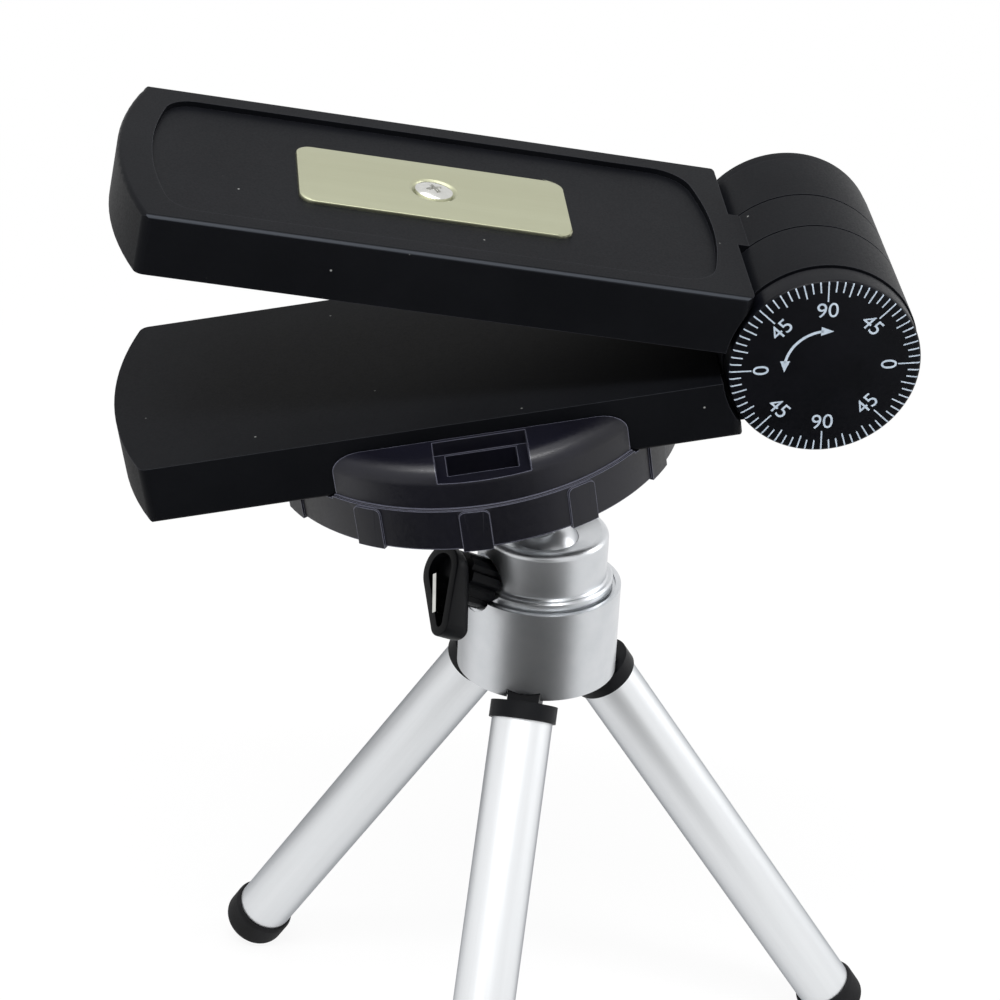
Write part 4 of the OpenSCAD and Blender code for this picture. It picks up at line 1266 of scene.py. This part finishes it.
@dataclass
class Studio:
    """Pale floor, soft lights and the camera. Sizes are in metres, angles in degrees."""

    camera_at: tuple[float, float, float] = (-0.053654, -0.460506, 0.341543)
    azimuth: float = 5.73
    dip: float = 26.27
    roll: float = 3.09
    lens: float = 115.2
    sensor: float = 36.0
    clip: tuple[float, float] = (0.01, 50.0)
    aim_height: float = 0.1
    ambient: float = 0.4
    floor_size: float = 8.0
    floor_grey: float = 0.86
    floor_white: float = 0.9
    shadow_reach: tuple[float, float] = (0.15, 0.5)
    card_size: float = 3.0
    card_fade: tuple[float, float] = (0.6, 1.0)

    def _camera(self) -> None:
        """Sets the camera at the photograph's viewing angle."""
        data = bpy.data.cameras.new("camera")
        data.lens = self.lens
        data.sensor_width = self.sensor
        data.clip_start, data.clip_end = self.clip
        camera = bpy.data.objects.new("camera", data)
        bpy.context.scene.collection.objects.link(camera)
        turn, dip, roll = [math.radians(a) for a in (self.azimuth, self.dip, self.roll)]
        forward = Vector((math.sin(turn) * math.cos(dip), math.cos(turn) * math.cos(dip), -math.sin(dip)))
        level = forward.cross(UP).normalized()
        right = level * math.cos(roll) + level.cross(forward) * math.sin(roll)
        camera.matrix_world = place(Vector(self.camera_at), right, right.cross(forward), -forward)
        bpy.context.scene.camera = camera

    def _light(self, name: str, at: tuple[float, float, float], size: tuple[float, float],
               power: float) -> None:
        """Adds a soft rectangular light that points at the object.

        Args:
            name: Name of the light.
            at: Its place.
            size: Its width and height.
            power: Its power in watts.
        """
        data = bpy.data.lights.new(name, "AREA")
        data.shape = "RECTANGLE"
        data.size, data.size_y = size
        data.energy = power
        light = bpy.data.objects.new(name, data)
        bpy.context.scene.collection.objects.link(light)
        light.location = at
        light.rotation_euler = (UP * self.aim_height - Vector(at)).to_track_quat("-Z", "Y").to_euler()

    @staticmethod
    def _shown(tree: bpy.types.NodeTree) -> bpy.types.NodeSocket:
        """Tells rays that show a surface, straight, mirrored or through glass, from those that light it.

        Args:
            tree: Tree of the floor or the surround.

        Returns:
            A socket that is 1 for those rays.
        """
        path = add_node(tree, "ShaderNodeLightPath")
        seen = add_node(tree, "ShaderNodeMath", {"operation": "MAXIMUM"},
                        {0: path.outputs["Is Camera Ray"], 1: path.outputs["Is Transmission Ray"]})
        shown = add_node(tree, "ShaderNodeMath", {"operation": "MAXIMUM"},
                         {0: seen.outputs[0], 1: path.outputs["Is Glossy Ray"]})
        return shown.outputs[0]

    def _world(self) -> None:
        """Makes a white surround for the camera and for reflections, and a softer one for light."""
        world = bpy.data.worlds.new("studio")
        bpy.context.scene.world = world
        world.use_nodes = True
        tree = world.node_tree
        tree.nodes.clear()
        level = add_node(tree, "ShaderNodeMapRange", {"To Min": self.ambient, "To Max": 1.0},
                         {"Value": self._shown(tree)})
        back = add_node(tree, "ShaderNodeBackground", {"Color": (1, 1, 1, 1)},
                        {"Strength": level.outputs["Result"]})
        add_node(tree, "ShaderNodeOutputWorld", {}, {"Surface": back.outputs["Background"]})

    def _floor(self) -> None:
        """Lays the pale floor, which keeps the object's shadow near it and turns white farther away."""
        start_fresh()
        bpy.ops.mesh.primitive_plane_add(size=self.floor_size)
        floor = active()
        floor.name = "floor"
        made = blank_material("pale_floor")
        tree = made.node_tree
        grey = (self.floor_grey, self.floor_grey, self.floor_grey, 1)
        cloth = add_node(tree, "ShaderNodeBsdfDiffuse", {"Color": grey})
        white = add_node(tree, "ShaderNodeEmission", {"Color": (1, 1, 1, 1), "Strength": 1.0})
        coords = add_node(tree, "ShaderNodeTexCoord")
        away = add_node(tree, "ShaderNodeVectorMath", {"operation": "LENGTH"}, {0: coords.outputs["Object"]})
        fade = add_node(tree, "ShaderNodeMapRange", {
            "interpolation_type": "SMOOTHSTEP", "To Min": self.floor_white, "To Max": 1.0,
            "From Min": self.shadow_reach[0], "From Max": self.shadow_reach[1],
        }, {"Value": away.outputs["Value"]})
        share = add_node(tree, "ShaderNodeMath", {"operation": "MULTIPLY"},
                         {0: fade.outputs["Result"], 1: self._shown(tree)})
        mix = add_node(tree, "ShaderNodeMixShader", {}, {0: share.outputs[0], 1: cloth.outputs[0],
                                                         2: white.outputs[0]})
        add_node(tree, "ShaderNodeOutputMaterial", {}, {"Surface": mix.outputs[0]})
        dress(floor, made)

    def _card(self, name: str, at: tuple[float, float, float], reach: tuple[float, float, float],
              tone: float, standing: bool = False) -> None:
        """Sets up a card with soft edges that only reflections show.

        Args:
            name: Name of the card.
            at: Its middle.
            reach: How far it reaches from its middle, along each axis.
            tone: Its brightness, where 1 is white.
            standing: Whether it stands instead of lying.
        """
        start_fresh()
        bpy.ops.mesh.primitive_plane_add(size=self.card_size, location=at,
                                         rotation=(math.pi / 2 if standing else 0, 0, 0))
        bpy.ops.object.transform_apply(location=True, rotation=True)
        card = active()
        card.name = name
        made = blank_material(name)
        tree = made.node_tree
        coords = add_node(tree, "ShaderNodeTexCoord")
        own = add_node(tree, "ShaderNodeMapping", {
            "vector_type": "TEXTURE", "Location": at, "Scale": reach,
        }, {"Vector": coords.outputs["Object"]})
        away = add_node(tree, "ShaderNodeVectorMath", {"operation": "LENGTH"}, {0: own.outputs["Vector"]})
        share = add_node(tree, "ShaderNodeMapRange", {
            "interpolation_type": "SMOOTHSTEP", "To Min": 1.0, "To Max": 0.0,
            "From Min": self.card_fade[0], "From Max": self.card_fade[1],
        }, {"Value": away.outputs["Value"]})
        clear = add_node(tree, "ShaderNodeBsdfTransparent")
        dark = add_node(tree, "ShaderNodeEmission", {"Strength": tone})
        mix = add_node(tree, "ShaderNodeMixShader", {}, {0: share.outputs["Result"], 1: clear.outputs[0],
                                                         2: dark.outputs[0]})
        add_node(tree, "ShaderNodeOutputMaterial", {}, {"Surface": mix.outputs[0]})
        dress(card, made)
        card.visible_camera = False
        card.visible_diffuse = False
        card.visible_transmission = False
        card.visible_shadow = False

    def build(self) -> None:
        """Builds the stage."""
        self._camera()
        self._world()
        self._floor()
        self._card("dark_card", at=(-0.04, -0.22, 0.002), reach=(0.26, 0.2, 1.0), tone=0.05)
        self._card("grey_card", at=(-0.16, 0.32, 0.004), reach=(0.3, 0.3, 1.0), tone=0.45)
        self._card("black_flag", at=(-0.08, -0.8, 0.16), reach=(0.4, 1.0, 0.36), tone=0.08, standing=True)
        self._light("top_light", at=(-0.1, 0.1, 1.0), size=(0.9, 0.6), power=3.6)
        self._light("front_strip", at=(-0.1, -0.5, 1.0), size=(1.0, 0.14), power=11.0)
        self._light("right_light", at=(0.8, 0.1, 0.5), size=(0.3, 0.8), power=3.0)
        bpy.context.scene.view_settings.view_transform = "Standard"


def main() -> None:
    """Builds the pieces in order and the stage round them."""
    logging.basicConfig(level=logging.INFO, format="%(name)s: %(message)s")
    dresser = CadDresser()
    Level(dresser).build()
    DockAndHead(dresser).build()
    Tripod(dresser).build()
    Studio().build()


if __name__ == "__main__":
    main()
